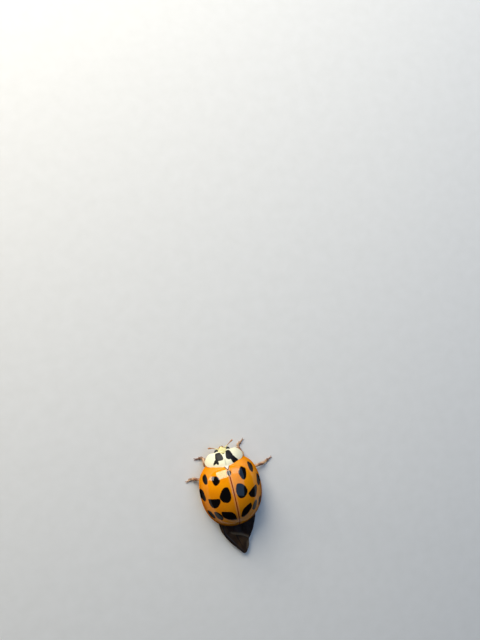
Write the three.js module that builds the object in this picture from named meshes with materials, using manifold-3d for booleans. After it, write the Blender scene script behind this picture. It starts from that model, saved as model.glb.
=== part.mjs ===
// A life-size ladybird of the harlequin kind, standing still with its wing cases shut
// and the tips of its folded hind wings showing behind them.
// Millimetres, +Z up, head towards -Y, the animal's left towards +X, feet on Z = 0.

import * as THREE from "three";
import { mergeVertices } from "three/addons/utils/BufferGeometryUtils.js";
import Module from "manifold-3d";

const wasm = await Module();
wasm.setup();

// ---- Driving dimensions ----------------------------------------------------

const GAP = 0.02; // clearance between two plates, or at a leg's joint
const WALL = 0.48; // a wing case, outside to inside

// The two wing cases together: an egg-shaped dome, widest at Y = 0.
const ELYTRA = {
  y: 0,
  halfWidth: 2.78,
  front: 2.94, // from the widest place to where the dome would end in front
  rear: 3.31, // from the widest place to the tip
  base: 0.94, // the rim above the floor
  height: 2.3, // the crown above the rim
  lean: 0.2, // how far the crown sits ahead of the widest place
  bulge: 2.3,
  round: 0.55,
  squareFront: 2.5, // 2 is an ellipse, more gives fuller shoulders
  squareRear: 2.2,
  flange: 0.035, // the flat turned-out margin, as a share of the width
};

// The neck shield, a lower dome just ahead of the wing cases.
const PRONOTUM = {
  y: -2.3,
  halfWidth: 1.78,
  front: 1.62,
  rear: 1.2,
  base: 0.86,
  height: 1.42,
  lean: 0,
  bulge: 1.8,
  round: 0.68,
  squareFront: 2.2,
  squareRear: 2,
  flange: 0,
};

// The seam between neck shield and wing cases, seen from above: Y = seamY - bow * X^2.
const SEAM = { y: -2.42, bow: 0.05 };

const SCUTELLUM = { halfWidth: 0.24, length: 0.28, sunk: 0.05, depth: 0.3 };

// The underside: the plate between the front legs, then the thorax and the ringed abdomen.
const PROSTERNUM = { y: -2.78, halfWidth: 1.15, length: 0.62, depth: 0.36 };
const BELLY = { depth: 0.44, middleLegsY: -1.35, thoraxEnd: -0.3, bands: 5, bandEnd: 2.75 };
const GROOVE = { width: 0.06, depth: 0.07, bow: 0.2 };

const HEAD = { y: -3.22, z: 1.12, halfWidth: 0.72, length: 0.48, height: 0.46, pitch: 0.35 };
const EYE = { x: 0.6, y: -3.38, z: 1.2, radii: [0.2, 0.26, 0.26] };
const LIP = { y: -3.45, z: 0.74, halfWidth: 0.36, length: 0.26, height: 0.24 };

// Each feeler and palp: root, bend and tip.
const FEELER_RADIUS = 0.24;
const PALP_RADIUS = 0.22;
const FEELERS = {
  left: [[0.46, -3.5, 0.96], [0.82, -3.8, 0.84], [1.16, -3.9, 0.68]],
  right: [[-0.46, -3.5, 0.96], [-0.8, -3.92, 0.84], [-1.08, -4.2, 0.68]],
};
const PALPS = {
  left: [[0.24, -3.08, 0.56], [0.28, -3.28, 0.42], [0.26, -3.44, 0.3]],
  right: [[-0.24, -3.08, 0.56], [-0.28, -3.28, 0.42], [-0.26, -3.44, 0.3]],
};

// Each leg: hip, knee, ankle and toe, along the middle of the limb.
const LEGS = {
  front_left: [[0.44, -2.62, 0.62], [1.78, -2.4, 0.58], [1.74, -3.1, 0.28], [2.44, -3.16, 0.19]],
  front_right: [[-0.44, -2.62, 0.62], [-1.86, -2.46, 0.58], [-1.52, -3.3, 0.28], [-2.12, -3.72, 0.19]],
  middle_left: [[0.85, -1.5, 0.58], [2.4, -1.4, 0.6], [3.15, -1.55, 0.28], [3.62, -1.42, 0.19]],
  middle_right: [[-0.85, -1.5, 0.58], [-2.3, -1.2, 0.6], [-3.68, -1.15, 0.28], [-4.32, -1.42, 0.19]],
  hind_left: [[0.85, -0.42, 0.58], [2.05, 0.5, 0.58], [2.0, 1.72, 0.28], [1.62, 2.4, 0.19]],
  hind_right: [[-0.85, -0.42, 0.58], [-2.1, 0.42, 0.58], [-2.04, 1.64, 0.28], [-1.7, 2.34, 0.19]],
};
const LEG_RADIUS = { hip: 0.32, femur: 0.27, tibia: 0.25, tarsus: 0.25 };

// The hind wings, and the line in plan where the right one lies against the left one.
const WING_THICKNESS = 0.5;
const WING_ROOT = { y: 1.6, halfWidth: 1.5 };
const WING_LINE = { x: 0.09, bend: 4.15, end: [-0.56, 4.96] };

// ---- Colours ---------------------------------------------------------------

const material = (color, roughness, metalness = 0) =>
  new THREE.MeshStandardMaterial({ color, roughness, metalness });

const ORANGE = material(0xe88a10, 0.18);
const CREAM = material(0xf3ecc8, 0.25);
const FACE = material(0xece3a0, 0.35);
const ROSE = material(0xe8c8b4, 0.3);
const BLACK = material(0x0c0a0a, 0.15);
const AMBER = material(0xb8742c, 0.35);
const BROWN_BLACK = material(0x2a1a12, 0.35);
const SMOKE = material(0x241a14, 0.3);

// ---- Solids ----------------------------------------------------------------

// A closed three.js geometry as a manifold-3d solid.
function solid(geometry) {
  const bare = geometry.clone();
  for (const name of Object.keys(bare.attributes)) {
    if (name !== "position") bare.deleteAttribute(name);
  }
  const merged = mergeVertices(bare, 1e-5);
  const corners = merged.index.array;
  const kept = [];
  for (let i = 0; i < corners.length; i += 3) {
    const [a, b, c] = corners.slice(i, i + 3);
    if (a !== b && b !== c && c !== a) kept.push(a, b, c);
  }
  const made = new wasm.Manifold(
    new wasm.Mesh({
      numProp: 3,
      vertProperties: new Float32Array(merged.attributes.position.array),
      triVerts: new Uint32Array(kept),
    }),
  );
  if (made.volume() < 0) throw new Error("a profile is inside out");
  return made;
}

// A solid's largest body as a three.js mesh; the crumbs that a cut leaves are dropped.
function mesh(name, made, look) {
  const bodies = made.decompose().sort((a, b) => b.volume() - a.volume());
  const { numProp, vertProperties, triVerts } = bodies[0].getMesh();
  const points = [];
  for (let i = 0; i < vertProperties.length; i += numProp) {
    points.push(...vertProperties.subarray(i, i + 3));
  }
  const geometry = new THREE.BufferGeometry()
    .setAttribute("position", new THREE.Float32BufferAttribute(points, 3))
    .setIndex(Array.from(triVerts));
  geometry.computeVertexNormals();
  const piece = new THREE.Mesh(geometry, look);
  piece.name = name;
  return piece;
}

const joined = (pieces) => pieces.reduce((a, b) => a.add(b));

// A half outline from a curve path, mirrored in X = 0 and closed.
function mirroredShape(path, divisions) {
  const half = path.getPoints(divisions);
  const other = half
    .filter((p) => Math.abs(p.x) > 1e-6)
    .reverse()
    .map((p) => new THREE.Vector2(-p.x, p.y));
  return new THREE.Shape([...half, ...other]);
}

// A plan outline drawn up from low to high.
function prism(shape, low, high, curveSegments = 12) {
  const geometry = new THREE.ExtrudeGeometry(shape, {
    depth: high - low,
    bevelEnabled: false,
    curveSegments,
  });
  return solid(geometry.translate(0, 0, low));
}

function block(low, high) {
  const size = high.map((value, axis) => value - low[axis]);
  const middle = high.map((value, axis) => (value + low[axis]) / 2);
  return solid(new THREE.BoxGeometry(...size).translate(...middle));
}

// Blocks of all the room above the floor, on the animal's left or right, or behind a plane.
const FAR = 12;
const ABOVE_FLOOR = block([-FAR, -FAR, 0], [FAR, FAR, FAR]);
const LEFT_HALF = block([GAP / 2, -FAR, 0], [FAR, FAR, FAR]);
const RIGHT_HALF = block([-FAR, -FAR, 0], [-GAP / 2, FAR, FAR]);
const behind = (y) => block([-FAR, y, 0], [FAR, FAR, FAR]);

// A unit profile (radius, height) turned about Z, then stretched to an egg-shaped plan.
function eggTurned(profile, form, segments, inset) {
  const points = profile.map(([r, z]) => new THREE.Vector2(r, z));
  const geometry = new THREE.LatheGeometry(points, segments).rotateX(Math.PI / 2);
  const position = geometry.attributes.position;
  const p = new THREE.Vector3();
  for (let i = 0; i < position.count; i++) {
    p.fromBufferAttribute(position, i);
    const radius = Math.hypot(p.x, p.y);
    const square = p.y < 0 ? form.squareFront : form.squareRear;
    const length = (p.y < 0 ? form.front : form.rear) - inset;
    const share = radius > 1e-9 ? [p.x / radius, p.y / radius].map(Math.abs) : [1, 0];
    const full = (share[0] ** square + share[1] ** square) ** (-1 / square);
    position.setXYZ(
      i,
      p.x * full * (form.halfWidth - inset),
      form.y + p.y * full * length - form.lean * p.z,
      p.z,
    );
  }
  return geometry;
}

// The height of a dome, as a share, at a share r of the way out.
const domeHeight = (form, r) => (1 - Math.min(r, 1) ** form.bulge) ** form.round;

// A closed dome with a flat base. An inset makes the same dome smaller all over.
function dome(form, { inset = 0, segments = 40, rings = 8 } = {}) {
  const edge = 1 - (inset ? 0 : form.flange);
  const profile = [];
  for (let i = 0; i <= rings; i++) {
    const r = Math.sin((Math.PI / 2) * (i / rings));
    profile.push([r * edge, domeHeight(form, r)]);
  }
  if (edge < 1) {
    profile[profile.length - 1] = [edge, 0.055];
    profile.push([1, 0.045], [1, 0]);
  }
  profile.push([0, 0]);
  const geometry = eggTurned(profile.reverse(), form, segments, inset);
  geometry.scale(1, 1, form.height - inset);
  return solid(geometry.translate(0, 0, form.base));
}

// The wing cases without their turned-out margin, and the facets for what they hide.
const CLOSED = { ...ELYTRA, flange: 0 };
const COARSE = { segments: 22, rings: 4 };

// The round belly hanging below the rim of the wing cases.
function bellyBowl(form, inset, depth, { segments, rings }) {
  const profile = [[0, 0]];
  for (let i = 0; i <= rings; i++) {
    const angle = (Math.PI / 2) * (i / rings);
    profile.push([Math.cos(angle), -Math.sin(angle)]);
  }
  const flat = { ...form, lean: 0 };
  const geometry = eggTurned(profile.reverse(), flat, segments, inset);
  return solid(geometry.scale(1, 1, depth).translate(0, 0, form.base));
}

// A ball stretched to three radii, pitched about X and put in place.
function ball(centre, radii, { pitch = 0, wide = 10, high = 7 } = {}) {
  const geometry = new THREE.SphereGeometry(1, wide, high).rotateX(Math.PI / 2);
  geometry.scale(...radii).rotateX(pitch).translate(...centre);
  return solid(geometry);
}

// A limb from a to b: round in section, with its radius given along its length.
function limb(a, b, radiusAt, { sides = 7, steps = 3, grow = 0 } = {}) {
  const from = new THREE.Vector3(...a);
  const to = new THREE.Vector3(...b);
  const length = from.distanceTo(to);
  const cap = radiusAt(0) + grow;
  const end = radiusAt(1) + grow;
  const profile = [new THREE.Vector2(0, -cap * 0.8)];
  profile.push(new THREE.Vector2(cap * 0.72, -cap * 0.5));
  for (let i = 0; i <= steps; i++) {
    profile.push(new THREE.Vector2(radiusAt(i / steps) + grow, (length * i) / steps));
  }
  profile.push(new THREE.Vector2(end * 0.72, length + end * 0.5));
  profile.push(new THREE.Vector2(0, length + end * 0.8));
  const geometry = new THREE.LatheGeometry(profile, sides);
  const along = to.sub(from).normalize();
  const turn = new THREE.Quaternion().setFromUnitVectors(new THREE.Vector3(0, 1, 0), along);
  geometry.applyQuaternion(turn);
  return solid(geometry.translate(...a));
}

// ---- Legs ------------------------------------------------------------------

const femurRadius = (t) => LEG_RADIUS.femur * (0.8 + 0.28 * Math.sin(Math.PI * t) - 0.06 * t);
const tibiaRadius = (t) => LEG_RADIUS.tibia * (0.92 + 0.1 * t);
const footRadius = (t) => LEG_RADIUS.tarsus * (0.85 + 0.15 * Math.abs(Math.sin(3 * Math.PI * t)));

// The hip and thigh as one piece, swollen where it meets the body.
function thigh([hip, knee], grow = 0) {
  const radii = Array(3).fill(LEG_RADIUS.hip + grow);
  return ball(hip, radii, { wide: 8, high: 5 }).add(limb(hip, knee, femurRadius, { grow }));
}

const shin = ([, knee, ankle], grow = 0) => limb(knee, ankle, tibiaRadius, { grow, steps: 1 });

// The foot is three short joints in a row, waisted between them.
const foot = ([, , ankle, toe], grow = 0) => limb(ankle, toe, footRadius, { grow, steps: 6 });

const wholeLeg = (joints, grow) =>
  thigh(joints, grow).add(shin(joints, grow)).add(foot(joints, grow));

const LEG_ROOM = joined(Object.values(LEGS).map((joints) => wholeLeg(joints, GAP)));

function addLegs(group) {
  for (const [name, joints] of Object.entries(LEGS)) {
    const femur = thigh(joints);
    const tibia = shin(joints).subtract(thigh(joints, GAP)).intersect(ABOVE_FLOOR);
    const tarsus = foot(joints).subtract(shin(joints, GAP)).intersect(ABOVE_FLOOR);
    group.add(mesh(`leg_${name}_femur`, femur, AMBER));
    group.add(mesh(`leg_${name}_tibia`, tibia, AMBER));
    group.add(mesh(`leg_${name}_tarsus`, tarsus, AMBER));
  }
}

// ---- Hind wings ------------------------------------------------------------

// Both wings lie in one curved layer, high under the wing cases and low at the tips.
function wingLayer(grow) {
  const top = new THREE.SplineCurve([
    new THREE.Vector2(1.5, 1.5),
    new THREE.Vector2(2.2, 1.08),
    new THREE.Vector2(2.8, 0.88),
    new THREE.Vector2(4.5, 0.78),
    new THREE.Vector2(6.4, 0.62),
  ]).getPoints(14);
  const down = WING_THICKNESS + grow;
  const under = [...top].reverse().map((p) => new THREE.Vector2(p.x, p.y - down));
  const over = top.map((p) => new THREE.Vector2(p.x, p.y + grow));
  const geometry = new THREE.ExtrudeGeometry(new THREE.Shape([...over, ...under]), {
    depth: 2 * ELYTRA.halfWidth,
    bevelEnabled: false,
  });
  geometry.translate(0, 0, -ELYTRA.halfWidth);
  // The profile's X becomes Y and its Y becomes Z.
  const turn = new THREE.Matrix4().set(0, 0, 1, 0, 1, 0, 0, 0, 0, 1, 0, 0, 0, 0, 0, 1);
  return solid(geometry.applyMatrix4(turn));
}

// The left wing is the longer one and makes the tip of both.
function leftWingOutline() {
  const [notchX, notchY] = WING_LINE.end;
  const shape = new THREE.Shape();
  shape.moveTo(WING_LINE.x + GAP, WING_ROOT.y);
  shape.lineTo(WING_ROOT.halfWidth, WING_ROOT.y);
  shape.quadraticCurveTo(1.8, 2.6, 1.68, 3.6);
  shape.bezierCurveTo(1.42, 4.55, 0.7, 5.45, 0.2, 6.12);
  shape.quadraticCurveTo(0.02, 6.26, -0.14, 6.08);
  shape.quadraticCurveTo(-0.5, 5.7, notchX - GAP, notchY + GAP);
  shape.lineTo(WING_LINE.x + GAP, WING_LINE.bend + GAP);
  return shape;
}

function rightWingOutline() {
  const [notchX, notchY] = WING_LINE.end;
  const shape = new THREE.Shape();
  shape.moveTo(WING_LINE.x - GAP, WING_ROOT.y);
  shape.lineTo(WING_LINE.x - GAP, WING_LINE.bend - GAP);
  shape.lineTo(notchX, notchY - GAP);
  shape.bezierCurveTo(-1.05, 4.4, -1.5, 3.8, -1.64, 3.0);
  shape.quadraticCurveTo(-1.68, 2.2, -WING_ROOT.halfWidth, WING_ROOT.y);
  return shape;
}

function addWings(group) {
  const layer = wingLayer(0).subtract(caseShell()).subtract(caseShell(GAP));
  const outlines = { hindwing_left: leftWingOutline(), hindwing_right: rightWingOutline() };
  for (const [name, outline] of Object.entries(outlines)) {
    group.add(mesh(name, prism(outline, 0, FAR, 8).intersect(layer), SMOKE));
  }
}

// ---- Wing cases and scutellum ----------------------------------------------

// Everything behind the seam, which is bowed towards the tail in the middle.
function behindSeam(shift) {
  const reach = 4;
  const middle = SEAM.y + shift;
  const ends = middle - SEAM.bow * reach ** 2;
  const shape = new THREE.Shape();
  shape.moveTo(-reach, ends);
  shape.quadraticCurveTo(0, 2 * middle - ends, reach, ends);
  shape.lineTo(reach, FAR);
  shape.lineTo(-reach, FAR);
  return prism(shape, 0, FAR, 8);
}

function scutellumPrism(grow) {
  const front = SEAM.y - 0.2;
  const shape = new THREE.Shape();
  shape.moveTo(-SCUTELLUM.halfWidth - grow, front);
  shape.lineTo(SCUTELLUM.halfWidth + grow, front);
  shape.lineTo(SCUTELLUM.halfWidth + grow, SEAM.y);
  shape.lineTo(0, SEAM.y + SCUTELLUM.length + grow);
  shape.lineTo(-SCUTELLUM.halfWidth - grow, SEAM.y);
  return prism(shape, ELYTRA.base + 0.5, FAR);
}

// Both wing cases in one piece, hollow underneath.
function caseShell(drop = 0) {
  const base = ELYTRA.base - drop;
  const inner = dome({ ...CLOSED, base }, { inset: WALL, ...COARSE });
  return dome({ ...ELYTRA, base }).subtract(inner).intersect(behindSeam(GAP));
}

function addWingCases(group) {
  const fitted = caseShell().subtract(scutellumPrism(GAP)).subtract(LEG_ROOM);
  group.add(mesh("elytron_left", fitted.intersect(LEFT_HALF), ORANGE));
  group.add(mesh("elytron_right", fitted.intersect(RIGHT_HALF), ORANGE));

  const layer = dome(CLOSED, { inset: SCUTELLUM.sunk });
  const under = dome(CLOSED, { inset: SCUTELLUM.depth });
  const plate = layer.subtract(under).intersect(scutellumPrism(0));
  group.add(mesh("scutellum", plate.intersect(behindSeam(GAP)), ROSE));
}

// ---- Thorax and abdomen ----------------------------------------------------

// The body that fills the wing cases, with its round underside.
function bodyCore(shrink) {
  const inset = WALL + GAP + shrink;
  const upper = dome(CLOSED, { inset, ...COARSE });
  return upper.add(bellyBowl(CLOSED, inset, BELLY.depth - shrink, COARSE));
}

// A thin wall across the body, bowed like the joint between two belly plates.
function bandWall(y) {
  const reach = 3;
  const near = y + GROOVE.bow;
  const far = near + GROOVE.width;
  const shape = new THREE.Shape();
  shape.moveTo(-reach, near);
  shape.quadraticCurveTo(0, near - 2 * GROOVE.bow, reach, near);
  shape.lineTo(reach, far);
  shape.quadraticCurveTo(0, far - 2 * GROOVE.bow, -reach, far);
  return prism(shape, 0, ELYTRA.base, 4);
}

function addThoraxAndAbdomen(group) {
  const core = bodyCore(0);
  const deep = bodyCore(GROOVE.depth);
  const body = core.intersect(behindSeam(GAP)).subtract(LEG_ROOM).subtract(wingLayer(GAP));
  const scutellumRoom = scutellumPrism(GAP).subtract(
    dome(CLOSED, { inset: SCUTELLUM.depth + GAP }),
  );
  const clear = body.subtract(scutellumRoom);

  // The middle and hind thorax, with a lengthwise groove and one across it.
  const middleLine = block(
    [-GROOVE.width / 2, BELLY.middleLegsY, 0],
    [GROOVE.width / 2, BELLY.thoraxEnd, ELYTRA.base],
  );
  const lines = bandWall(BELLY.middleLegsY).add(middleLine).subtract(deep);
  const thorax = clear.subtract(behind(BELLY.thoraxEnd - GAP)).subtract(lines);
  group.add(mesh("thorax", thorax, BROWN_BLACK));

  // The abdomen, ringed by the joints between its belly plates.
  const step = (BELLY.bandEnd - BELLY.thoraxEnd) / BELLY.bands;
  const walls = [];
  for (let i = 1; i < BELLY.bands; i++) {
    walls.push(bandWall(BELLY.thoraxEnd + step * i));
  }
  const abdomen = clear.intersect(behind(BELLY.thoraxEnd)).subtract(joined(walls).subtract(deep));
  group.add(mesh("abdomen", abdomen, BROWN_BLACK));
}

// ---- Neck shield and its underside -----------------------------------------

function pronotumOutline() {
  const rear = SEAM.y - GAP;
  const corner = 1.5;
  const cornerY = rear - SEAM.bow * corner ** 2;
  const path = new THREE.CurvePath();
  const v = (x, y) => new THREE.Vector2(x, y);
  path.add(new THREE.QuadraticBezierCurve(v(0, rear), v(corner / 2, rear), v(corner, cornerY)));
  path.add(
    new THREE.CubicBezierCurve(v(corner, cornerY), v(1.72, -2.5), v(1.78, -2.7), v(1.72, -2.95)),
  );
  path.add(
    new THREE.CubicBezierCurve(v(1.72, -2.95), v(1.62, -3.3), v(1.38, -3.54), v(1.08, -3.54)),
  );
  path.add(
    new THREE.CubicBezierCurve(v(1.08, -3.54), v(0.8, -3.54), v(0.45, -3.36), v(0, -3.36)),
  );
  return mirroredShape(path, 5);
}

function head(grow) {
  const centre = [0, HEAD.y, HEAD.z];
  const radii = [HEAD.halfWidth, HEAD.length, HEAD.height].map((r) => r + grow);
  return ball(centre, radii, { pitch: HEAD.pitch, wide: 14, high: 8 });
}

function eye(side, grow = 0) {
  const centre = [side * EYE.x, EYE.y, EYE.z];
  return ball(centre, EYE.radii.map((r) => r + grow), { pitch: HEAD.pitch });
}

function lip(grow = 0) {
  const radii = [LIP.halfWidth, LIP.length, LIP.height].map((r) => r + grow);
  return ball([0, LIP.y, LIP.z], radii, { pitch: 0.6 });
}

function addNeckShield(group) {
  const cap = dome(PRONOTUM, { segments: 32, rings: 6 }).intersect(
    prism(pronotumOutline(), 0, FAR),
  );
  const sockets = head(GAP).add(eye(1, GAP)).add(eye(-1, GAP));
  const feelers = Object.values(FEELERS).map((joints) => feeler(joints, FEELER_RADIUS, GAP));
  const shield = cap.subtract(sockets).subtract(joined(feelers)).subtract(LEG_ROOM);
  group.add(mesh("pronotum", shield, CREAM));

  // The plate under the neck, between the front legs.
  const { y, halfWidth, length, depth } = PROSTERNUM;
  const bowl = ball([0, y, PRONOTUM.base], [halfWidth, length, depth], { wide: 14, high: 8 });
  const above = block([-FAR, -FAR, PRONOTUM.base - GAP], [FAR, FAR, FAR]);
  const lower = bowl.subtract(behindSeam(-2 * GAP)).subtract(above);
  const palps = Object.values(PALPS).map((joints) => feeler(joints, PALP_RADIUS, GAP));
  const mouthRoom = joined([head(GAP), lip(GAP), ...palps]);
  group.add(mesh("prosternum", lower.subtract(mouthRoom).subtract(LEG_ROOM), AMBER));
}

// ---- Head ------------------------------------------------------------------

// A feeler or palp as a bent rod through three points.
function feeler([root, bend, tip], radius, grow = 0) {
  const even = () => radius;
  const shaft = limb(root, bend, even, { grow, steps: 1 });
  return shaft.add(limb(bend, tip, even, { grow, steps: 1 }));
}

function addHead(group) {
  const eyeRoom = eye(1, GAP).add(eye(-1, GAP));
  const mouthRoom = lip(GAP);
  group.add(mesh("head", head(0).subtract(eyeRoom).subtract(mouthRoom), FACE));
  for (const [name, side] of [["left", 1], ["right", -1]]) {
    const antenna = feeler(FEELERS[name], FEELER_RADIUS)
      .subtract(head(GAP))
      .subtract(eyeRoom)
      .subtract(mouthRoom)
      .subtract(LEG_ROOM);
    const palp = feeler(PALPS[name], PALP_RADIUS).subtract(head(GAP)).subtract(mouthRoom);
    group.add(mesh(`eye_${name}`, eye(side), BLACK));
    group.add(mesh(`antenna_${name}`, antenna, AMBER));
    group.add(mesh(`palp_${name}`, palp, AMBER));
  }
  group.add(mesh("upper_lip", lip(), FACE));
}

// ---- The whole animal ------------------------------------------------------

function ladybird() {
  const group = new THREE.Group();
  addWingCases(group);
  addThoraxAndAbdomen(group);
  addNeckShield(group);
  addHead(group);
  addLegs(group);
  addWings(group);
  // The origin is under the middle of the whole figure, on the floor.
  const box = new THREE.Box3().setFromObject(group);
  group.position.set(-(box.min.x + box.max.x) / 2, -(box.min.y + box.max.y) / 2, -box.min.z);
  return group;
}

export default ladybird();
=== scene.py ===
import math
import random

import bmesh
import bpy
from mathutils import Matrix, Vector


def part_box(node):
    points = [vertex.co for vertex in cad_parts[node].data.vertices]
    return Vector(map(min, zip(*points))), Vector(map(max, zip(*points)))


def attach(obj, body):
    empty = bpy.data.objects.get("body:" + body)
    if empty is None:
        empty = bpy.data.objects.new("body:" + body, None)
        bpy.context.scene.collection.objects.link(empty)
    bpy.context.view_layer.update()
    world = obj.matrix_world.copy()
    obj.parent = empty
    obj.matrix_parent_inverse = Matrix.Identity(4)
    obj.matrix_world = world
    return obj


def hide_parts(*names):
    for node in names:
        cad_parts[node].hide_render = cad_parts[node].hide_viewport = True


# A harlequin ladybird, life-size and standing still. The animal is modelled in millimetres,
# with the head towards -Y, its left towards +X and the seam of the wing cases at X = 0.
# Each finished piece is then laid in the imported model's frame, in metres.

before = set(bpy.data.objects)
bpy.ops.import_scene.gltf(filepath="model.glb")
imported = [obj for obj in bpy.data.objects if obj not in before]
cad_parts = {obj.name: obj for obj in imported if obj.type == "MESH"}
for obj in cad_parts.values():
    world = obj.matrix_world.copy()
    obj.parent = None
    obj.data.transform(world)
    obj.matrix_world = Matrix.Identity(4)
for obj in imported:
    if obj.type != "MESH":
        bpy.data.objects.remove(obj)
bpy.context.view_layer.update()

MM = 0.001
GAP = 0.02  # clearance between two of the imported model's solids
SEAM_GAP = 0.006  # the wing cases all but touch along the seam
SAME_PLACE = 0.0004  # vertices closer than this are merged
ON_PLANE = 0.00001  # a vertex this close to a cutting plane lies on it

# The two wing cases together, in plan and height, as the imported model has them.
ELYTRA = {
    "half_width": 2.78,
    "front": 2.94,
    "rear": 3.31,
    "base": 0.94,
    "height": 2.3,
    "lean": 0.2,
    "bulge": 2.3,
    "round": 0.55,
    "square_front": 2.5,
    "square_rear": 2.2,
}
DOME_EDGE = 0.965  # the dome ends here and the turned-out margin begins
PRONOTUM = {
    "y": -2.3,
    "half_width": 1.78,
    "front": 1.62,
    "rear": 1.2,
    "base": 0.86,
    "height": 1.42,
    "bulge": 1.8,
    "round": 0.68,
    "square_front": 2.2,
    "square_rear": 2.0,
}
SEAM_Y, SEAM_BOW = -2.42, 0.05  # neck shield against wing cases: Y = SEAM_Y - SEAM_BOW * X^2

case_low, case_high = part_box("elytron_left")
SEAM_AT = Vector((case_low.x / MM - GAP / 2, case_high.y / MM - ELYTRA["rear"], 0))


# ---- Working steps ---------------------------------------------------------


def deselect():
    """Nothing selected, in object mode."""
    if bpy.context.object and bpy.context.object.mode != "OBJECT":
        bpy.ops.object.mode_set(mode="OBJECT")
    bpy.ops.object.select_all(action="DESELECT")


def take(piece):
    """Makes a piece the only selected one."""
    deselect()
    piece.select_set(True)
    bpy.context.view_layer.objects.active = piece
    return piece


def edit(piece):
    """Opens a piece in edit mode with nothing selected."""
    take(piece)
    bpy.ops.object.mode_set(mode="EDIT")
    bpy.ops.mesh.select_mode(type="VERT")
    bpy.ops.mesh.select_all(action="DESELECT")
    return piece


def pick(test, kind="verts"):
    """In edit mode, selects just the vertices or faces that pass a test."""
    bpy.ops.mesh.select_mode(type="VERT" if kind == "verts" else "FACE")
    bpy.ops.mesh.select_all(action="DESELECT")
    made = bmesh.from_edit_mesh(bpy.context.object.data)
    for part in getattr(made, kind):
        if test(part):
            part.select = True
    made.select_flush_mode()
    bmesh.update_edit_mesh(bpy.context.object.data)


def middle(face):
    return face.calc_center_median()


def cut(point, normal, whole=True, inner=False, outer=False, fill=False):
    """Cuts the whole mesh, or just what is selected, by a plane. Either side can be cleared:
    inner is the one that the normal points away from."""
    if whole:
        bpy.ops.mesh.select_all(action="SELECT")
    bpy.ops.mesh.bisect(
        plane_co=point,
        plane_no=normal,
        use_fill=fill,
        clear_inner=inner,
        clear_outer=outer,
        threshold=ON_PLANE,
    )


def nudge(test, move, reach):
    """Moves the vertices that pass a test, and what is near them by less and less."""
    pick(test)
    bpy.ops.transform.translate(
        value=move,
        use_proportional_edit=True,
        proportional_edit_falloff="SMOOTH",
        proportional_size=reach,
    )


def lay_outline(outline):
    """A ring of edges through the points of an outline, open in edit mode."""
    deselect()
    bpy.ops.mesh.primitive_circle_add(vertices=len(outline), radius=1, fill_type="NOTHING")
    ring = edit(bpy.context.object)
    made = bmesh.from_edit_mesh(ring.data)
    for v, p in zip(made.verts, outline):
        v.co = (p.x, p.y, 0)
    bmesh.update_edit_mesh(ring.data)
    return ring


def draw_in(shares, centre):
    """Draws the selected ring in to each share of its size, and closes it at the last."""
    size = 1.0
    for share in shares:
        bpy.ops.mesh.extrude_region_move(TRANSFORM_OT_translate={"value": (0, 0, 0)})
        step = share / size
        bpy.ops.transform.resize(value=(step, step, 1), center_override=centre)
        size = share
    bpy.ops.mesh.merge(type="CENTER")


def finish_mesh(smooth_angle=60):
    """Leaves edit mode, with doubles merged, faces turned out and smooth shading."""
    bpy.ops.object.mode_set(mode="EDIT")
    bpy.ops.mesh.select_mode(type="VERT")
    bpy.ops.mesh.select_all(action="SELECT")
    bpy.ops.mesh.remove_doubles(threshold=SAME_PLACE)
    bpy.ops.mesh.normals_make_consistent(inside=False)
    # A thin closed shell can come out of that with its inside out.
    made = bmesh.from_edit_mesh(bpy.context.object.data)
    closed = not any(e.is_boundary for e in made.edges)
    if closed and made.calc_volume(signed=True) < 0:
        bpy.ops.mesh.flip_normals()
    bpy.ops.object.mode_set(mode="OBJECT")
    bpy.ops.object.shade_smooth_by_angle(angle=math.radians(smooth_angle))


def modify(piece, kind, **settings):
    """Adds one modifier, sets it and applies it."""
    take(piece)
    step = piece.modifiers.new(kind.title(), kind)
    for name, value in settings.items():
        setattr(step, name, value)
    bpy.ops.object.modifier_apply(modifier=step.name)


def rename(piece, name):
    piece.name = name
    piece.data.name = name
    return piece


def deliver(piece, name, material, slot, *nodes):
    """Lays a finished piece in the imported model's frame, dresses it and lets it ride."""
    rename(take(piece), name)
    piece.data.transform(Matrix.Scale(MM, 4) @ Matrix.Translation(SEAM_AT))
    piece.data.materials.clear()
    piece.data.materials.append(material)
    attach(piece, "root")
    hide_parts(*nodes)
    return piece


def join(pieces):
    """Joins several pieces into the first one."""
    take(pieces[0])
    for piece in pieces:
        piece.select_set(True)
    bpy.ops.object.join()
    return bpy.context.object


# ---- Materials -------------------------------------------------------------

SMOOTH = {"interpolation_type": "SMOOTHSTEP"}  # a Map Range node as a soft step
COLOURS = {"data_type": "RGBA", "out": 2}  # a Mix node of two colours
ROUND_CORNER = 0.2  # millimetres over which a spot's corners are rounded off
SPOTS_MELT = 0.05  # two spots this close run into each other
RODS_MELT = 0.06
CHITIN_IOR = 1.56
PIT_DEPTH = 0.012
PIT_MOUTH = 0.42  # a pit's radius, as a share of the spacing


def srgb(code):
    """A hex colour as linear red, green, blue and alpha."""
    parts = [int(code[i : i + 2], 16) / 255 for i in (1, 3, 5)]
    linear = [c / 12.92 if c <= 0.04045 else ((c + 0.055) / 1.055) ** 2.4 for c in parts]
    return (*linear, 1.0)


def new_material(name):
    """A bare material, and the one small function that adds a node to it."""
    material = bpy.data.materials.new(name)
    material.use_nodes = True
    tree = material.node_tree
    tree.nodes.clear()

    def put(kind, inputs=(), out=0, **settings):
        made = tree.nodes.new("ShaderNode" + kind)
        for key, value in settings.items():
            setattr(made, key, value)
        named = inputs if isinstance(inputs, dict) else dict(enumerate(inputs))
        for key, value in named.items():
            if isinstance(value, bpy.types.NodeSocket):
                tree.links.new(value, made.inputs[key])
            else:
                made.inputs[key].default_value = srgb(value) if isinstance(value, str) else value
        return made.outputs[out] if len(made.outputs) else made

    return material, put


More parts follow.
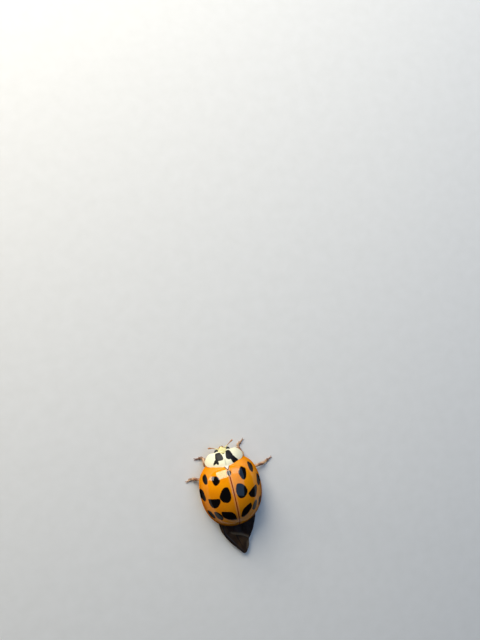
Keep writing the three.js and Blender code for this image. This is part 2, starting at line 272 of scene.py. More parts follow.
def painted(put, ground, *coats):
    """Lays coats, each a share and a colour, over a ground colour one after the other."""
    for share, colour in coats:
        ground = put("Mix", {"Factor": share, "A": ground, "B": colour}, **COLOURS)
    return ground


def animal_millimetres(put):
    """Object coordinates turned to millimetres from the seam and the widest place."""
    where = put("TexCoord", out="Object")
    scaled = {"Vector": where, "Scale": (1 / MM,) * 3, "Location": [-c for c in SEAM_AT]}
    return put("Mapping", scaled, vector_type="POINT")


def places(put, point):
    """A point's X, Y and Z, and how far it is to either side of the seam."""
    x = put("SeparateXYZ", (point,), out="X")
    y, z = (x.node.outputs[axis] for axis in "YZ")
    return x, y, z, put("Math", (x,), operation="ABSOLUTE")


def streaks(put, point, rods):
    """The signed distance in millimetres to a row of tapered rods seen from above.
    Each rod is (x, y, radius, x, y, radius)."""
    nearest = None
    for ax, ay, ar, bx, by, br in rods:
        span = (bx - ax, by - ay, 0)
        length2 = span[0] ** 2 + span[1] ** 2
        from_a = put("VectorMath", (point, (ax, ay, 0)), operation="SUBTRACT")
        flat = put("VectorMath", (from_a, (1, 1, 0)), operation="MULTIPLY")
        along = put("VectorMath", (flat, span), out="Value", operation="DOT_PRODUCT")
        share = put("Math", (along, length2), operation="DIVIDE", use_clamp=True)
        foot = put("VectorMath", {0: span, "Scale": share}, operation="SCALE")
        away = put("VectorMath", (flat, foot), out="Value", operation="DISTANCE")
        radius = put("Math", (share, br - ar, ar), operation="MULTIPLY_ADD")
        depth = put("Math", (away, radius), operation="SUBTRACT")
        if nearest is not None:
            depth = put("Math", (nearest, depth, RODS_MELT), operation="SMOOTH_MIN")
        nearest = depth
    return nearest


def patches(put, point, outlines):
    """The signed distance in millimetres to the nearest of several spots seen from above.
    Each is a convex outline whose corners are rounded off."""
    nearest = None
    for outline in outlines:
        centre = Vector((0, 0))
        for corner in outline:
            centre += Vector(corner) / len(outline)
        inside = None
        for a, b in zip(outline, outline[1:] + outline[:1]):
            a, b = Vector(a), Vector(b)
            outward = Vector((b.y - a.y, a.x - b.x)).normalized()
            if outward.dot(centre - a) > 0:
                outward.negate()
            facing = (outward.x, outward.y, 0)
            reach = put("VectorMath", (point, facing), out="Value", operation="DOT_PRODUCT")
            edge = put("Math", (reach, outward.dot(a)), operation="SUBTRACT")
            if inside is not None:
                edge = put("Math", (inside, edge, ROUND_CORNER), operation="SMOOTH_MAX")
            inside = edge
        if nearest is not None:
            inside = put("Math", (nearest, inside, SPOTS_MELT), operation="SMOOTH_MIN")
        nearest = inside
    return nearest


def wandering(put, point, scale, reach):
    """The point moved a little to and fro in plan, so that no drawn edge is quite even."""
    wobble = put("TexNoise", {"Vector": point, "Scale": scale, "Detail": 2.0}, out="Color")
    centred = put("VectorMath", (wobble, (0.5, 0.5, 0.5)), operation="SUBTRACT")
    drift = (centred, (reach, reach, 0.0), point)
    return put("VectorMath", drift, operation="MULTIPLY_ADD")


# The spots, from front to rear, as corners (x, y) in millimetres.
SCUTELLAR_SPOT = [
    (0.16, -2.1), (0.2, -1.93), (0.1, -1.77), (-0.1, -1.77), (-0.2, -1.93), (-0.16, -2.1)]
LEFT_SPOTS = [
    SCUTELLAR_SPOT,
    [(1.95, -2.1), (1.88, -1.93), (1.98, -1.42), (2.14, -1.34), (2.28, -1.55), (2.22, -1.85)],
    [(1.48, -1.93), (1.0, -1.9), (0.9, -1.7), (0.93, -1.5), (1.27, -1.24), (1.41, -1.24),
     (1.56, -1.75)],
    [(0.66, -1.0), (0.4, -0.93), (0.29, -0.5), (0.3, -0.1), (0.4, 0.16), (0.68, 0.33),
     (1.07, 0.18), (1.27, -0.22), (1.18, -0.47), (0.9, -0.86)],
    [(2.2, -0.13), (1.28, -0.13), (1.25, 0.07), (1.42, 0.42), (1.68, 0.65), (1.92, 0.68),
     (2.12, 0.5)],
    [(2.66, -0.8), (2.48, -0.84), (2.4, -0.5), (2.38, -0.06), (2.5, 0.18), (2.78, 0.0),
     (2.82, -0.5)],
    [(1.36, 1.05), (0.95, 1.1), (0.53, 1.24), (0.28, 1.58), (0.22, 2.15), (0.42, 2.16),
     (0.93, 1.97), (1.27, 1.68), (1.38, 1.36)],
    [(1.95, 1.05), (1.76, 1.03), (1.4, 1.38), (1.31, 1.75), (1.42, 1.95), (1.62, 1.87),
     (1.9, 1.55)],
    [(2.45, 1.03), (2.25, 1.03), (1.95, 1.58), (2.0, 1.85), (2.2, 1.8), (2.42, 1.47)],
]
RIGHT_SPOTS = [
    SCUTELLAR_SPOT,
    [(-1.88, -2.12), (-2.02, -2.06), (-2.27, -1.72), (-2.27, -1.5), (-2.11, -1.27),
     (-1.95, -1.43), (-1.83, -1.8)],
    [(-1.18, -2.12), (-1.52, -1.83), (-1.5, -1.6), (-1.32, -1.18), (-1.1, -1.12),
     (-0.92, -1.32), (-0.8, -1.82)],
    [(-0.43, -1.0), (-0.75, -0.95), (-1.03, -0.68), (-1.2, -0.26), (-1.16, -0.03),
     (-0.88, 0.24), (-0.63, 0.31), (-0.34, 0.16), (-0.22, -0.2), (-0.22, -0.6)],
    [(-1.8, -0.19), (-2.11, -0.21), (-2.15, 0.0), (-2.02, 0.4), (-1.82, 0.71), (-1.48, 0.61),
     (-1.28, 0.38), (-1.22, 0.12)],
    [(-2.48, -0.92), (-2.6, -0.75), (-2.78, -0.27), (-2.78, -0.02), (-2.45, 0.13),
     (-2.29, -0.08), (-2.28, -0.4)],
    [(-1.03, 1.02), (-1.26, 1.0), (-1.3, 1.38), (-1.07, 1.68), (-0.6, 2.05), (-0.34, 2.12),
     (-0.21, 1.95), (-0.45, 1.32)],
    [(-1.53, 1.15), (-1.79, 1.0), (-1.88, 1.27), (-1.75, 1.58), (-1.6, 1.87), (-1.43, 1.87),
     (-1.28, 1.68)],
    [(-2.16, 1.05), (-2.38, 1.05), (-2.43, 1.33), (-2.28, 1.62), (-2.05, 1.81), (-1.92, 1.74)],
]
SHIELD_MARKS = [
    [(0.72, -3.52), (0.28, -3.55), (0.15, -3.36), (0.09, -3.1), (0.16, -2.98), (0.84, -2.98),
     (0.8, -3.25)],
    [(0.86, -3.08), (0.52, -3.06), (0.62, -2.88), (0.82, -2.76), (0.97, -2.64), (1.12, -2.62),
     (1.05, -2.84)],
    [(0.82, -2.92), (0.6, -2.95), (0.62, -2.68), (0.76, -2.68)],
    [(-0.25, -3.56), (-0.57, -3.56), (-0.69, -3.4), (-0.78, -3.06), (-0.55, -2.86),
     (-0.21, -2.94), (-0.1, -3.05), (-0.14, -3.3)],
    [(-0.48, -2.98), (-0.76, -3.14), (-0.93, -2.95), (-1.05, -2.78), (-1.2, -2.5),
     (-1.0, -2.42), (-0.74, -2.38), (-0.57, -2.6)],
]


def pitted(put, point, spacing, strength):
    """The cuticle's fine round pits, spacing in millimetres, as a bump.
    A real shell has them 0.03 to 0.08 mm apart. They show close up, and from further away
    the shell looks smooth, as it does in life."""
    cells = {"Vector": point, "Scale": 1 / spacing, "Randomness": 0.8}
    pit = put("TexVoronoi", cells, feature="F1")
    bowl = put("MapRange", (pit, 0.0, PIT_MOUTH, 0.0, 1.0), **SMOOTH)
    return put("Bump", {"Height": bowl, "Strength": strength, "Distance": PIT_DEPTH * MM})


def cuticle(name, paint, roughness, coat, pits=None, gloss=0.2):
    """Insect cuticle: pigment in tanned chitin under a clear waxy outer layer. The pigment
    gives a deep, slightly uneven colour, and the outer layer a sharp, thin shine over it.
    Coat is how much of that layer there is, a share or a function that draws it, and pits
    are their spacing and strength. Gloss is the shine of the pigmented layer itself."""
    material, put = new_material(name)
    point = animal_millimetres(put)
    surface = {
        "Base Color": paint(put, point),
        "Roughness": roughness,
        "IOR": 1.5,
        "Specular IOR Level": gloss,
        "Coat Weight": coat(put, point) if callable(coat) else coat,
        "Coat Roughness": 0.085,
        "Coat IOR": CHITIN_IOR,
    }
    if pits:
        surface["Normal"] = pitted(put, point, *pits)
    shader = put("BsdfPrincipled", surface)
    put("OutputMaterial", (shader,))
    return material


def orange_case(put, point, outlines):
    """Orange pigment with soft-edged black spots and a red-brown seam between two pale bands,
    which are partly a painted sheen of the seam's rounded edges. The flanks and rear half carry
    painted shade.
    """
    _, y, z, side = places(put, point)
    # The pigment is uneven in clouds about a millimetre across, as under any insect's cuticle.
    cloud = put("TexNoise", {"Vector": point, "Scale": 1.1, "Detail": 3.0})
    # The pale bands beside the seam are partly a pale edge and partly painted sheen, where the
    # seam's rounded edges catch the light.
    pale_band_and_sheen = put("MapRange", (side, 0.21, 0.1, 0, 0.5), **SMOOTH)
    seam = put("MapRange", (side, 0.07, 0.03, 0, 1), **SMOOTH)
    # Painted shade: the orange is darkened to brown down the flanks, more so to the rear, and a
    # little over the rear half, where those parts lie in shade.
    depth = put("MapRange", (y, -1.8, 0.6, 0.2, 0.62), **SMOOTH)
    flank = put("MapRange", (z, 2.1, 1.0, 0, depth), **SMOOTH)
    rear = put("MapRange", (y, -1.1, 0.1, 0, 0.26), **SMOOTH)
    distance = patches(put, wandering(put, point, 5.0, 0.05), outlines)
    spot = put("MapRange", (distance, 0.0, 0.06, 1, 0), **SMOOTH)
    coats = [(cloud, "#ec9504"), (pale_band_and_sheen, "#dc9a62"), (seam, "#842700")]
    # The browns laid over the flanks and the rear are painted shade.
    coats += [(flank, "#9c4d0a"), (rear, "#9c4d0a"), (spot, "#080505")]
    return painted(put, "#de7d00", *coats)


def left_case(put, point):
    return orange_case(put, point, LEFT_SPOTS)


def right_case(put, point):
    return orange_case(put, point, RIGHT_SPOTS)


def cream_shield(put, point):
    """Cream white with the two black marks that make the harlequin's M."""
    cloud = put("TexNoise", {"Vector": point, "Scale": 2.0, "Detail": 3.0})
    streak = streaks(put, point, [(0.02, -2.98, 0.03, 0.03, -2.62, 0.05)])
    grey = put("MapRange", (streak, -0.02, 0.06, 0.4, 0), **SMOOTH)
    distance = patches(put, wandering(put, point, 6.0, 0.05), SHIELD_MARKS)
    mark = put("MapRange", (distance, -0.005, 0.04, 1, 0), **SMOOTH)
    return painted(put, "#e6deb2", (cloud, "#efead0"), (grey, "#8f8a68"), (mark, "#0b0807"))


def thinning_polish(put, point):
    """The wing cases' polish is full on the crown and wears thin to the flanks, tips and rim."""
    _, y, z, side = places(put, point)
    flank = put("MapRange", (side, 1.75, 2.25, 1.0, 0.35), **SMOOTH)
    tip = put("MapRange", (y, 0.8, 1.8, 1.0, 0.4), **SMOOTH)
    rim = put("MapRange", (z, 1.3, 2.4, 0.06, 1.0), **SMOOTH)
    crown = put("Math", (flank, tip), operation="MULTIPLY")
    return put("Math", (crown, rim), operation="MULTIPLY")


# Wing cases: the hardest cuticle, tanned orange and black and polished by its own wax. To the
# eye it is deep colour under a clear shine, and the matt pigment alone where the wax is thin.
WING_CASES = {
    side: cuticle(
        f"{side}_wing_case_polished_cuticle",
        paint,
        roughness=0.45,
        coat=thinning_polish,
        pits=(0.06, 0.22),
        gloss=0.0,
    )
    for side, paint in (("left", left_case), ("right", right_case))
}
# Neck shield: pale cuticle over white fat, with a bloom of wax that leaves hardly any shine,
# so it looks like unglazed china.
NECK_SHIELD = cuticle(
    "neck_shield_waxy_cuticle", cream_shield, roughness=0.5, coat=0.05, pits=(0.055, 0.2))

# ---- Wing cases ------------------------------------------------------------

ROUND = 192  # vertices round the rim
RINGS = 46
JUST_IN = 0.985  # the neck shield's height is read this far in, just short of its margin
TUCK = 0.08  # how far the wing cases reach under the neck shield
ROLL = 0.34  # over this length their front rolls down to it
CUT_REACH, CUT_STEP = 2.1, 0.3  # the bowed front edge is cut in short straight lengths
SHOULDER_Y = -1.8  # only what is ahead of this meets those cuts
OVER_RIM = 1.1  # what is higher than this is the dome, not the turned-in rim
CASE_THICKNESS = 0.09


def dome_share(form, r):
    """The height of a dome, as a share, at a share r of the way out."""
    return (1 - min(r, 1) ** form["bulge"]) ** form["round"]


def way_out(form, x, dy):
    """How far a place is on the way from a form's middle to its rim, as a share."""
    square = form["square_front"] if dy < 0 else form["square_rear"]
    length = form["front"] if dy < 0 else form["rear"]
    reach = (abs(x) / form["half_width"]) ** square + (abs(dy) / length) ** square
    return reach ** (1 / square)


def case_height(x, y):
    """The height of the wing cases' surface at a place in plan."""
    share = 0.8  # a first guess, because the dome leans by its own height
    for _ in range(20):
        out = way_out(ELYTRA, x, y + ELYTRA["lean"] * share)
        share = dome_share(ELYTRA, out / DOME_EDGE)
    return ELYTRA["base"] + ELYTRA["height"] * share


def shield_height(x, y):
    """The height of the neck shield's surface at a place in plan."""
    out = way_out(PRONOTUM, x, y - PRONOTUM["y"])
    return PRONOTUM["base"] + PRONOTUM["height"] * dome_share(PRONOTUM, out)


def egg_circle(form, inset=0.0, points=ROUND):
    """A circle drawn out to the egg-shaped plan of a form."""
    deselect()
    bpy.ops.mesh.primitive_circle_add(vertices=points, radius=1, fill_type="NOTHING")
    ring = edit(bpy.context.object)
    made = bmesh.from_edit_mesh(ring.data)
    for v in made.verts:
        square = form["square_front"] if v.co.y < 0 else form["square_rear"]
        v.co *= (abs(v.co.x) ** square + abs(v.co.y) ** square) ** (-1 / square)
    bmesh.update_edit_mesh(ring.data)
    wide = form["half_width"] - inset
    bpy.ops.mesh.select_all(action="SELECT")
    bpy.ops.transform.resize(value=(wide, 1, 1), center_override=(0, 0, 0))
    for end, toward in (("front", -1), ("rear", 1)):
        pick(lambda v: toward * v.co.y > 1e-6)
        length = form[end] - inset
        bpy.ops.transform.resize(value=(1, length, 1), center_override=(0, 0, 0))
    bpy.ops.mesh.select_all(action="SELECT")
    return ring


def raise_rings(profile, lean=0.0):
    """Draws the selected ring through a profile of (share of the way out, height, lean share),
    and closes it at the last."""
    r0, z0, s0 = profile[0]
    bpy.ops.transform.resize(value=(r0, r0, 1), center_override=(0, 0, 0))
    bpy.ops.transform.translate(value=(0, -lean * s0, z0))
    for r1, z1, s1 in profile[1:]:
        shift = (0, -lean * (s1 - s0), z1 - z0)
        bpy.ops.mesh.extrude_region_move(TRANSFORM_OT_translate={"value": shift})
        scale = r1 / r0
        centre = (0, -lean * s1, 0)
        bpy.ops.transform.resize(value=(scale, scale, 1), center_override=centre)
        r0, z0, s0 = r1, z1, s1
    bpy.ops.mesh.merge(type="CENTER")


def shield_rear(x):
    """The rear edge of the neck shield, seen from above."""
    return SEAM_Y - SEAM_BOW * x * x


def case_front(x):
    """The front edge of the wing cases, tucked under the neck shield."""
    return shield_rear(x) - TUCK


def wing_case_dome():
    """Both wing cases as one open dome with a turned-in rim, a gutter and a cross ridge."""
    base, height = ELYTRA["base"], ELYTRA["height"]
    # From the inner edge of the turned-in rim, round the sharp margin, to the gutter.
    profile = [
        (0.8, base + 0.05, 0),
        (0.83, base + 0.035, 0),
        (0.88, base + 0.02, 0),
        (0.94, base + 0.01, 0),
        (0.985, base + 0.01, 0),
        (0.997, base + 0.025, 0.005),
        (1.0, base + 0.05, 0.02),
        (0.997, base + 0.08, 0.035),
        (0.991, base + 0.1, 0.045),
        (0.983, base + 0.112, 0.05),
        (0.973, base + 0.13, 0.055),
        (0.963, base + 0.17, 0.07),
    ]
    gutter_share = 0.09  # below this share of the height the gutter stands in for the dome
    for i in range(RINGS - 1, 0, -1):
        r = math.sin((math.pi / 2) * (i / RINGS))
        share = dome_share(ELYTRA, r)
        if share > gutter_share:
            profile.append((r * DOME_EDGE, base + height * share, share))
    dome = egg_circle(ELYTRA)
    raise_rings(profile, ELYTRA["lean"])

    # A low cross ridge just ahead of the tips, along an oval round the middle.
    oval_width, oval_length, oval_share = 2.6, 3.15, 0.86
    ridge_start, ridge_end = 0.45, 1.5  # from the seam, on each side

    def on_ridge(v):
        reach = math.hypot(v.co.x / oval_width, v.co.y / oval_length)
        return v.co.y > 0 and v.co.z > 1.3 and abs(reach - oval_share) < 0.02

    for side in (1, -1):
        nudge(
            lambda v: on_ridge(v) and ridge_start < side * v.co.x < ridge_end,
            (0, 0.02, 0.05),
            0.3,
        )

    # The front is cut along the bowed seam, one short straight cut after the other.
    cuts = [i * CUT_STEP - CUT_REACH for i in range(15)]
    for x in cuts[1:-1]:
        cut((x, 0, 0), (1, 0, 0))
    for a, b in zip(cuts, cuts[1:]):
        ya, yb = (case_front(x) for x in (a, b))
        pick(lambda f: a < middle(f).x < b and middle(f).y < SHOULDER_Y, "faces")
        cut((a, ya, 0), (yb - ya, a - b, 0), whole=False)
    pick(lambda f: middle(f).y < case_front(middle(f).x) - 0.0008, "faces")
    bpy.ops.mesh.delete(type="FACE")
    # The front then rolls down to the neck shield's rear edge.
    made = bmesh.from_edit_mesh(dome.data)
    for v in made.verts:
        x, y, z = v.co
        share = (case_front(x) + ROLL - y) / ROLL
        if share > 0 and z > OVER_RIM:
            sill = shield_height(JUST_IN * x, shield_rear(x)) - 0.1
            v.co.z -= max(0, case_height(x, case_front(x)) - sill) * share**2
    bmesh.update_edit_mesh(dome.data)
    return dome


def wing_case(dome, side, name):
    """One side of the dome, with a rounded seam edge and the scutellum's corner cut away."""
    take(dome)
    bpy.ops.object.duplicate()
    case = edit(bpy.context.object)
    for x in (0.16, 0.1, 0.05, 0.02):
        cut((side * x, 0, 0), (side, 0, 0))
    cut((side * SEAM_GAP / 2, 0, 0), (side, 0, 0), inner=True)
    # How far the surface sinks at each of these distances from the seam.
    for x, sink in ((SEAM_GAP / 2, 0.012), (0.02, 0.004), (0.05, 0.001)):
        pick(lambda v: v.co.z > 1.2 and abs(abs(v.co.x) - x) < 0.002)
        bpy.ops.transform.translate(value=(0, 0, -sink))
    cut((side * 0.25, SEAM_Y, 0), (side * 0.3, 0.26, 0), inner=True)
    finish_mesh()
    modify(case, "SOLIDIFY", thickness=CASE_THICKNESS, offset=-1.0, use_rim=True)
    finish_mesh(55)
    return deliver(case, f"wing_case_{name}", WING_CASES[name], "wing_case", f"elytron_{name}")


dome = wing_case_dome()
wing_case(dome, 1, "left")
wing_case(dome, -1, "right")
bpy.data.objects.remove(dome)


# ---- Neck shield -----------------------------------------------------------


def curve(points, steps):
    """Points along a Bezier curve of any degree, without its last one."""
    made = []
    for i in range(steps):
        level = [Vector(p) for p in points]
        while len(level) > 1:
            level = [a.lerp(b, i / steps) for a, b in zip(level, level[1:])]
        made.append(level[0])
    return made


def mirrored(half):
    """A closed outline from its left half, whose ends lie on the seam."""
    return half + [Vector((-p.x, p.y)) for p in reversed(half[1:-1])]


def shield_outline():
    """The neck shield from above: bowed rear edge, round sides, and a front that swells over
    the eyes and is notched over the face."""
    corner = (1.5, shield_rear(1.5))
    half = curve([(0, SEAM_Y), (0.75, SEAM_Y), corner], 16)
    half += curve([corner, (1.72, -2.5), (1.79, -2.7), (1.74, -2.92)], 12)
    half += curve([(1.74, -2.92), (1.6, -3.12), (1.36, -3.5), (1.04, -3.55)], 18)
    half += curve([(1.04, -3.55), (0.88, -3.57), (0.7, -3.56), (0.52, -3.62)], 10)
    half += curve([(0.52, -3.62), (0.3, -3.66), (0.22, -3.4), (0, -3.38)], 14)
    return mirrored(half + [Vector((0, -3.38))])


def neck_shield():
    """A domed plate with a bead round its margin, turned under towards the breast."""
    outline = shield_outline()
    count = len(outline)
    shield = lay_outline(outline)
    middle_y, breast = -2.9, 0.9
    over = (
        0.993, 0.98, 0.965, 0.945, 0.9, 0.84, 0.77, 0.7, 0.62, 0.54, 0.45, 0.36, 0.27, 0.18, 0.09)
    under = (0.992, 0.97, 0.93, 0.86, 0.76, 0.5)
    for shares in (over, under):
        pick(lambda v: v.index < count)
        draw_in(shares, (0, middle_y, 0))
        made = bmesh.from_edit_mesh(shield.data)
        made.verts.index_update()
    made = bmesh.from_edit_mesh(shield.data)
    made.verts.ensure_lookup_table()
    bead = {0: -0.02, 1: 0.004, 2: 0.016, 3: 0.01}  # its height over the dome, ring by ring
    falls = (0.02, 0.1, 0.25, 0.5, 0.85, 1.0)  # how far each under ring drops to the breast
    top = count * (len(over) + 1) + 1
    for i, v in enumerate(made.verts):
        v.co.z = shield_height(v.co.x * JUST_IN, v.co.y)
        if i < top:
            v.co.z += bead.get(i // count, 0)
        else:
            ring = min((i - top) // count, len(under) - 1)
            x, y = v.co.x / under[ring], middle_y + (v.co.y - middle_y) / under[ring]
            sill = shield_height(x * JUST_IN, y) - 0.04
            v.co.z = sill * (1 - falls[ring]) + breast * falls[ring]
    bmesh.update_edit_mesh(shield.data)
    finish_mesh()
    modify(shield, "SUBSURF", levels=1, render_levels=1)
    finish_mesh()
    deliver(shield, "neck_shield", NECK_SHIELD, "neck_shield", "pronotum")


neck_shield()


# ---- Finishes of the smaller parts -----------------------------------------


def pale_face(put, point):
    """Pale yellow face that turns black under the neck shield."""
    _, y, _, _ = places(put, point)
    cloud = put("TexNoise", {"Vector": point, "Scale": 3.0, "Detail": 3.0})
    back = put("MapRange", (y, -3.44, -3.34, 0, 1), **SMOOTH)
    return painted(put, "#cbc07c", (cloud, "#d8cf98"), (back, "#1a1210"))


def amber_lip(put, point):
    """Straw yellow that turns amber towards the front edge."""
    _, y, _, _ = places(put, point)
    front = put("MapRange", (y, -3.76, -3.85, 0, 1), **SMOOTH)
    return painted(put, "#e2cf86", (front, "#b98342"))


PLATE_HALF_WIDTH, PLATE_FRONT, PLATE_LENGTH = 0.24, -2.42, 0.28  # the scutellum in plan


def rosy_plate(put, point):
    """Pinkish white in the middle, dark along the two rear edges."""
    _, y, _, side = places(put, point)
    # The share of the way from the middle to the slanting edges: 1 on them.
    back = (y, 1 / PLATE_LENGTH, -PLATE_FRONT / PLATE_LENGTH)
    slope = put("Math", back, operation="MULTIPLY_ADD")
    reach = put("Math", (side, 1 / PLATE_HALF_WIDTH, slope), operation="MULTIPLY_ADD")
    edge = put("MapRange", (reach, 0.55, 0.85, 0, 1), **SMOOTH)
    return painted(put, "#f2d8cb", (edge, "#33160c"))


def mottled(put, point, red, yellow):
    """Reddish to yellowish amber in patches about half a millimetre long."""
    cloud = put("TexNoise", {"Vector": point, "Scale": 2.2, "Detail": 4.0})
    mottle = put("MapRange", (cloud, 0.38, 0.62, 0, 1), **SMOOTH)
    return painted(put, red, (mottle, yellow))


def amber_limb(put, point):
    """Amber brown, mottled along the limb."""
    return mottled(put, point, "#764830", "#c4986e")


def pale_limb(put, point):
    """Straw yellow towards the hip, amber at the knee."""
    _, _, _, side = places(put, point)
    hip = put("MapRange", (side, 1.1, 1.7, 0.75, 0), **SMOOTH)
    return painted(put, mottled(put, point, "#84543a", "#c4986e"), (hip, "#d9bd83"))


def two_tone_feeler(put, point):
    """Straw yellow root joints, amber shaft and club."""
    _, _, _, side = places(put, point)
    cloud = put("TexNoise", {"Vector": point, "Scale": 3.0, "Detail": 3.0})
    root = put("MapRange", (side, 0.5, 0.7, 0.9, 0), **SMOOTH)
    return painted(put, "#9a5c32", (cloud, "#c48d5c"), (root, "#e6da96"))


def clear_bristle(put, point):
    """Clear straw yellow, some bristles browner than others."""
    cloud = put("TexNoise", {"Vector": point, "Scale": 3.0, "Detail": 2.0})
    pale = put("MapRange", (cloud, 0.35, 0.65, 0, 1), **SMOOTH)
    return painted(put, "#b8986c", (pale, "#dccdb0"))


def red_jaw(put, point):
    """Amber at the root, dark red at the biting tip."""
    _, y, _, _ = places(put, point)
    tip = put("MapRange", (y, -3.72, -3.87, 0, 1), **SMOOTH)
    return painted(put, "#b9763c", (tip, "#3a1208"))


BANDS = [-0.3, 0.31, 0.92, 1.53, 2.14]  # where one belly plate ends over the next
BAND_BOW = 0.022  # the plates' edges curve back to the sides


def dark_breast(put, point):
    """Nearly black in the middle, dark brown at the sides."""
    _, _, _, side = places(put, point)
    cloud = put("TexNoise", {"Vector": point, "Scale": 4.0, "Detail": 4.0})
    flank = put("MapRange", (side, 1.0, 2.2, 0, 1), **SMOOTH)
    return painted(put, "#120c0a", (cloud, "#241712"), (flank, "#5a3018"))


def ringed_belly(put, point):
    """Dark in the middle, with a broad amber border that widens to the tip, and dark lines
    where one plate ends over the next."""
    x, y, _, side = places(put, point)
    cloud = put("TexNoise", {"Vector": point, "Scale": 3.0, "Detail": 4.0})
    reach = put("Math", (y, 0.42, side), operation="MULTIPLY_ADD")
    border = put("MapRange", (reach, 1.25, 1.75, 0, 1), **SMOOTH)
    # The lines follow the plates' bowed edges, which are evenly spaced.
    square = put("Math", (x, x), operation="MULTIPLY")
    row = put("Math", (square, -BAND_BOW, y), operation="MULTIPLY_ADD")
    row = put("Math", (row, BANDS[0]), operation="SUBTRACT")
    step = (BANDS[1] - BANDS[0]) / 2
    from_line = put("Math", (row, step), operation="PINGPONG")
    line = put("MapRange", (from_line, 0.035, 0.005, 0, 0.85), **SMOOTH)
    coats = [(cloud, "#3a2012"), (border, "#a4601f"), (line, "#0d0705")]
    return painted(put, "#1d100a", *coats)


def black_eye(put, point):
    """Black, with a faint brown cast in patches."""
    cloud = put("TexNoise", {"Vector": point, "Scale": 5.0, "Detail": 2.0})
    brown = put("MapRange", (cloud, 0.35, 0.65, 0, 1), **SMOOTH)
    return painted(put, "#060505", (brown, "#120c0a"))


# The veins of the hind wings, as tapered rods.
LEFT_VEINS = [
    (1.5, 2.6, 0.05, 1.4, 4.0, 0.045),
    (1.4, 4.0, 0.045, 0.62, 5.3, 0.035),
    (0.62, 5.3, 0.035, 0.1, 6.05, 0.02),
    (0.6, 2.8, 0.03, 1.1, 4.0, 0.02),
    (0.2, 2.8, 0.03, 0.45, 4.3, 0.025),
    (0.45, 4.3, 0.025, 0.1, 5.6, 0.012),
]
RIGHT_VEINS = [
    (-1.45, 2.6, 0.05, -1.2, 3.7, 0.04),
    (-1.2, 3.7, 0.04, -0.62, 4.7, 0.02),
    (-0.7, 2.8, 0.03, -0.1, 4.1, 0.02),
    (0.1, 2.8, 0.03, 0.7, 3.9, 0.02),
]
# Painted sheen: pale streaks along the wings' free edges, where they catch the light, as tapered
# rods.
LEFT_EDGE_SHEEN = [(-0.5, 5.3, 0.05, -0.35, 5.75, 0.02)]
RIGHT_EDGE_SHEEN = [(0.85, 3.98, 0.01, 0.1, 4.3, 0.03), (0.1, 4.3, 0.03, -0.5, 4.7, 0.02)]


def smoky(put, point, thin, thick, veins, edge_sheen):
    """Smoky membrane, darker where it is folded double, with dark veins and pale streaks of
    painted sheen along its free edges.
    """
    cloud = put("TexNoise", {"Vector": point, "Scale": 1.3, "Detail": 4.0})
    single = put("MapRange", (cloud, 0.35, 0.65, 0, 1), **SMOOTH)
    vein = put("MapRange", (streaks(put, point, veins), 0.0, 0.03, 0.8, 0), **SMOOTH)
    # The pale streaks along the edges are painted sheen.
    edge = put("MapRange", (streaks(put, point, edge_sheen), 0.0, 0.22, 0.5, 0), **SMOOTH)
    return painted(put, thick, (single, thin), (vein, "#0d0806"), (edge, "#6f6250"))


def left_membrane(put, point):
    return smoky(put, point, "#42301f", "#2a1c12", LEFT_VEINS, LEFT_EDGE_SHEEN)


def right_membrane(put, point):
    return smoky(put, point, "#301c14", "#1a0e09", RIGHT_VEINS, RIGHT_EDGE_SHEEN)


# Face: thin pale cuticle over yellow fat, lightly waxed, so it glows softly like old ivory.
FACE = cuticle("face_waxy_cuticle", pale_face, roughness=0.45, coat=0.4, pits=(0.05, 0.2))
# Upper lip: one thin layer of cuticle, amber and nearly clear, with a moist shine.
LIP = cuticle("lip_thin_cuticle", amber_lip, roughness=0.4, coat=0.5, pits=(0.04, 0.15))
# Scutellum: hard cuticle polished as the wing cases are, a small bright wedge between them.
SCUTELLUM = cuticle(
    "scutellum_polished_cuticle", rosy_plate, roughness=0.4, coat=0.5, pits=(0.05, 0.2))
# Shins, feet, palps and neck plate: tanned cuticle, finely netted, with a broad soft shine.
LIMB = cuticle("limb_tanned_cuticle", amber_limb, roughness=0.42, coat=0.4, pits=(0.045, 0.25))
# Thighs: the same cuticle, tanned less towards the hip, so they pale to straw.
THIGH = cuticle("thigh_tanned_cuticle", pale_limb, roughness=0.42, coat=0.4, pits=(0.045, 0.25))
# Feelers: thinner tanned cuticle, less waxed, with a duller shine on each bead.
FEELER = cuticle(
    "feeler_tanned_cuticle", two_tone_feeler, roughness=0.42, coat=0.3, pits=(0.045, 0.2))
# Breast and belly: thick cuticle, coarsely punctured, whose pits break the shine into grains.
BREAST = cuticle(
    "breast_punctured_cuticle", dark_breast, roughness=0.4, coat=0.4, pits=(0.08, 0.4))
BELLY = cuticle(
    "belly_punctured_cuticle", ringed_belly, roughness=0.42, coat=0.35, pits=(0.08, 0.4))
# Eyes: clear cuticle set as lenses over black pigment, a wet black full of tiny points of light.
EYE = cuticle("eye_lens_cuticle", black_eye, roughness=0.25, coat=0.8)
# Jaws: the most tanned cuticle, dense and smooth as horn, red-brown with a hard shine.
JAW = cuticle("jaw_hardened_cuticle", red_jaw, roughness=0.35, coat=0.6, pits=(0.05, 0.1))
# Bristles: hollow rods of clear untanned chitin, which catch light as pale hairs.
BRISTLE = cuticle("bristle_clear_chitin", clear_bristle, roughness=0.45, coat=0.0)
# Hind wings: a smoky film of chitin under a nap of microscopic hairs, which dulls its shine.
# The hairs stand about 0.01 mm apart, and are drawn as a grain three times as coarse to show.
WINGS = {
    side: cuticle(
        f"{side}_wing_smoked_membrane", paint, roughness=0.45, coat=0.25, pits=(0.03, 0.3))
    for side, paint in (("left", left_membrane), ("right", right_membrane))
}


# ---- Scutellum -------------------------------------------------------------


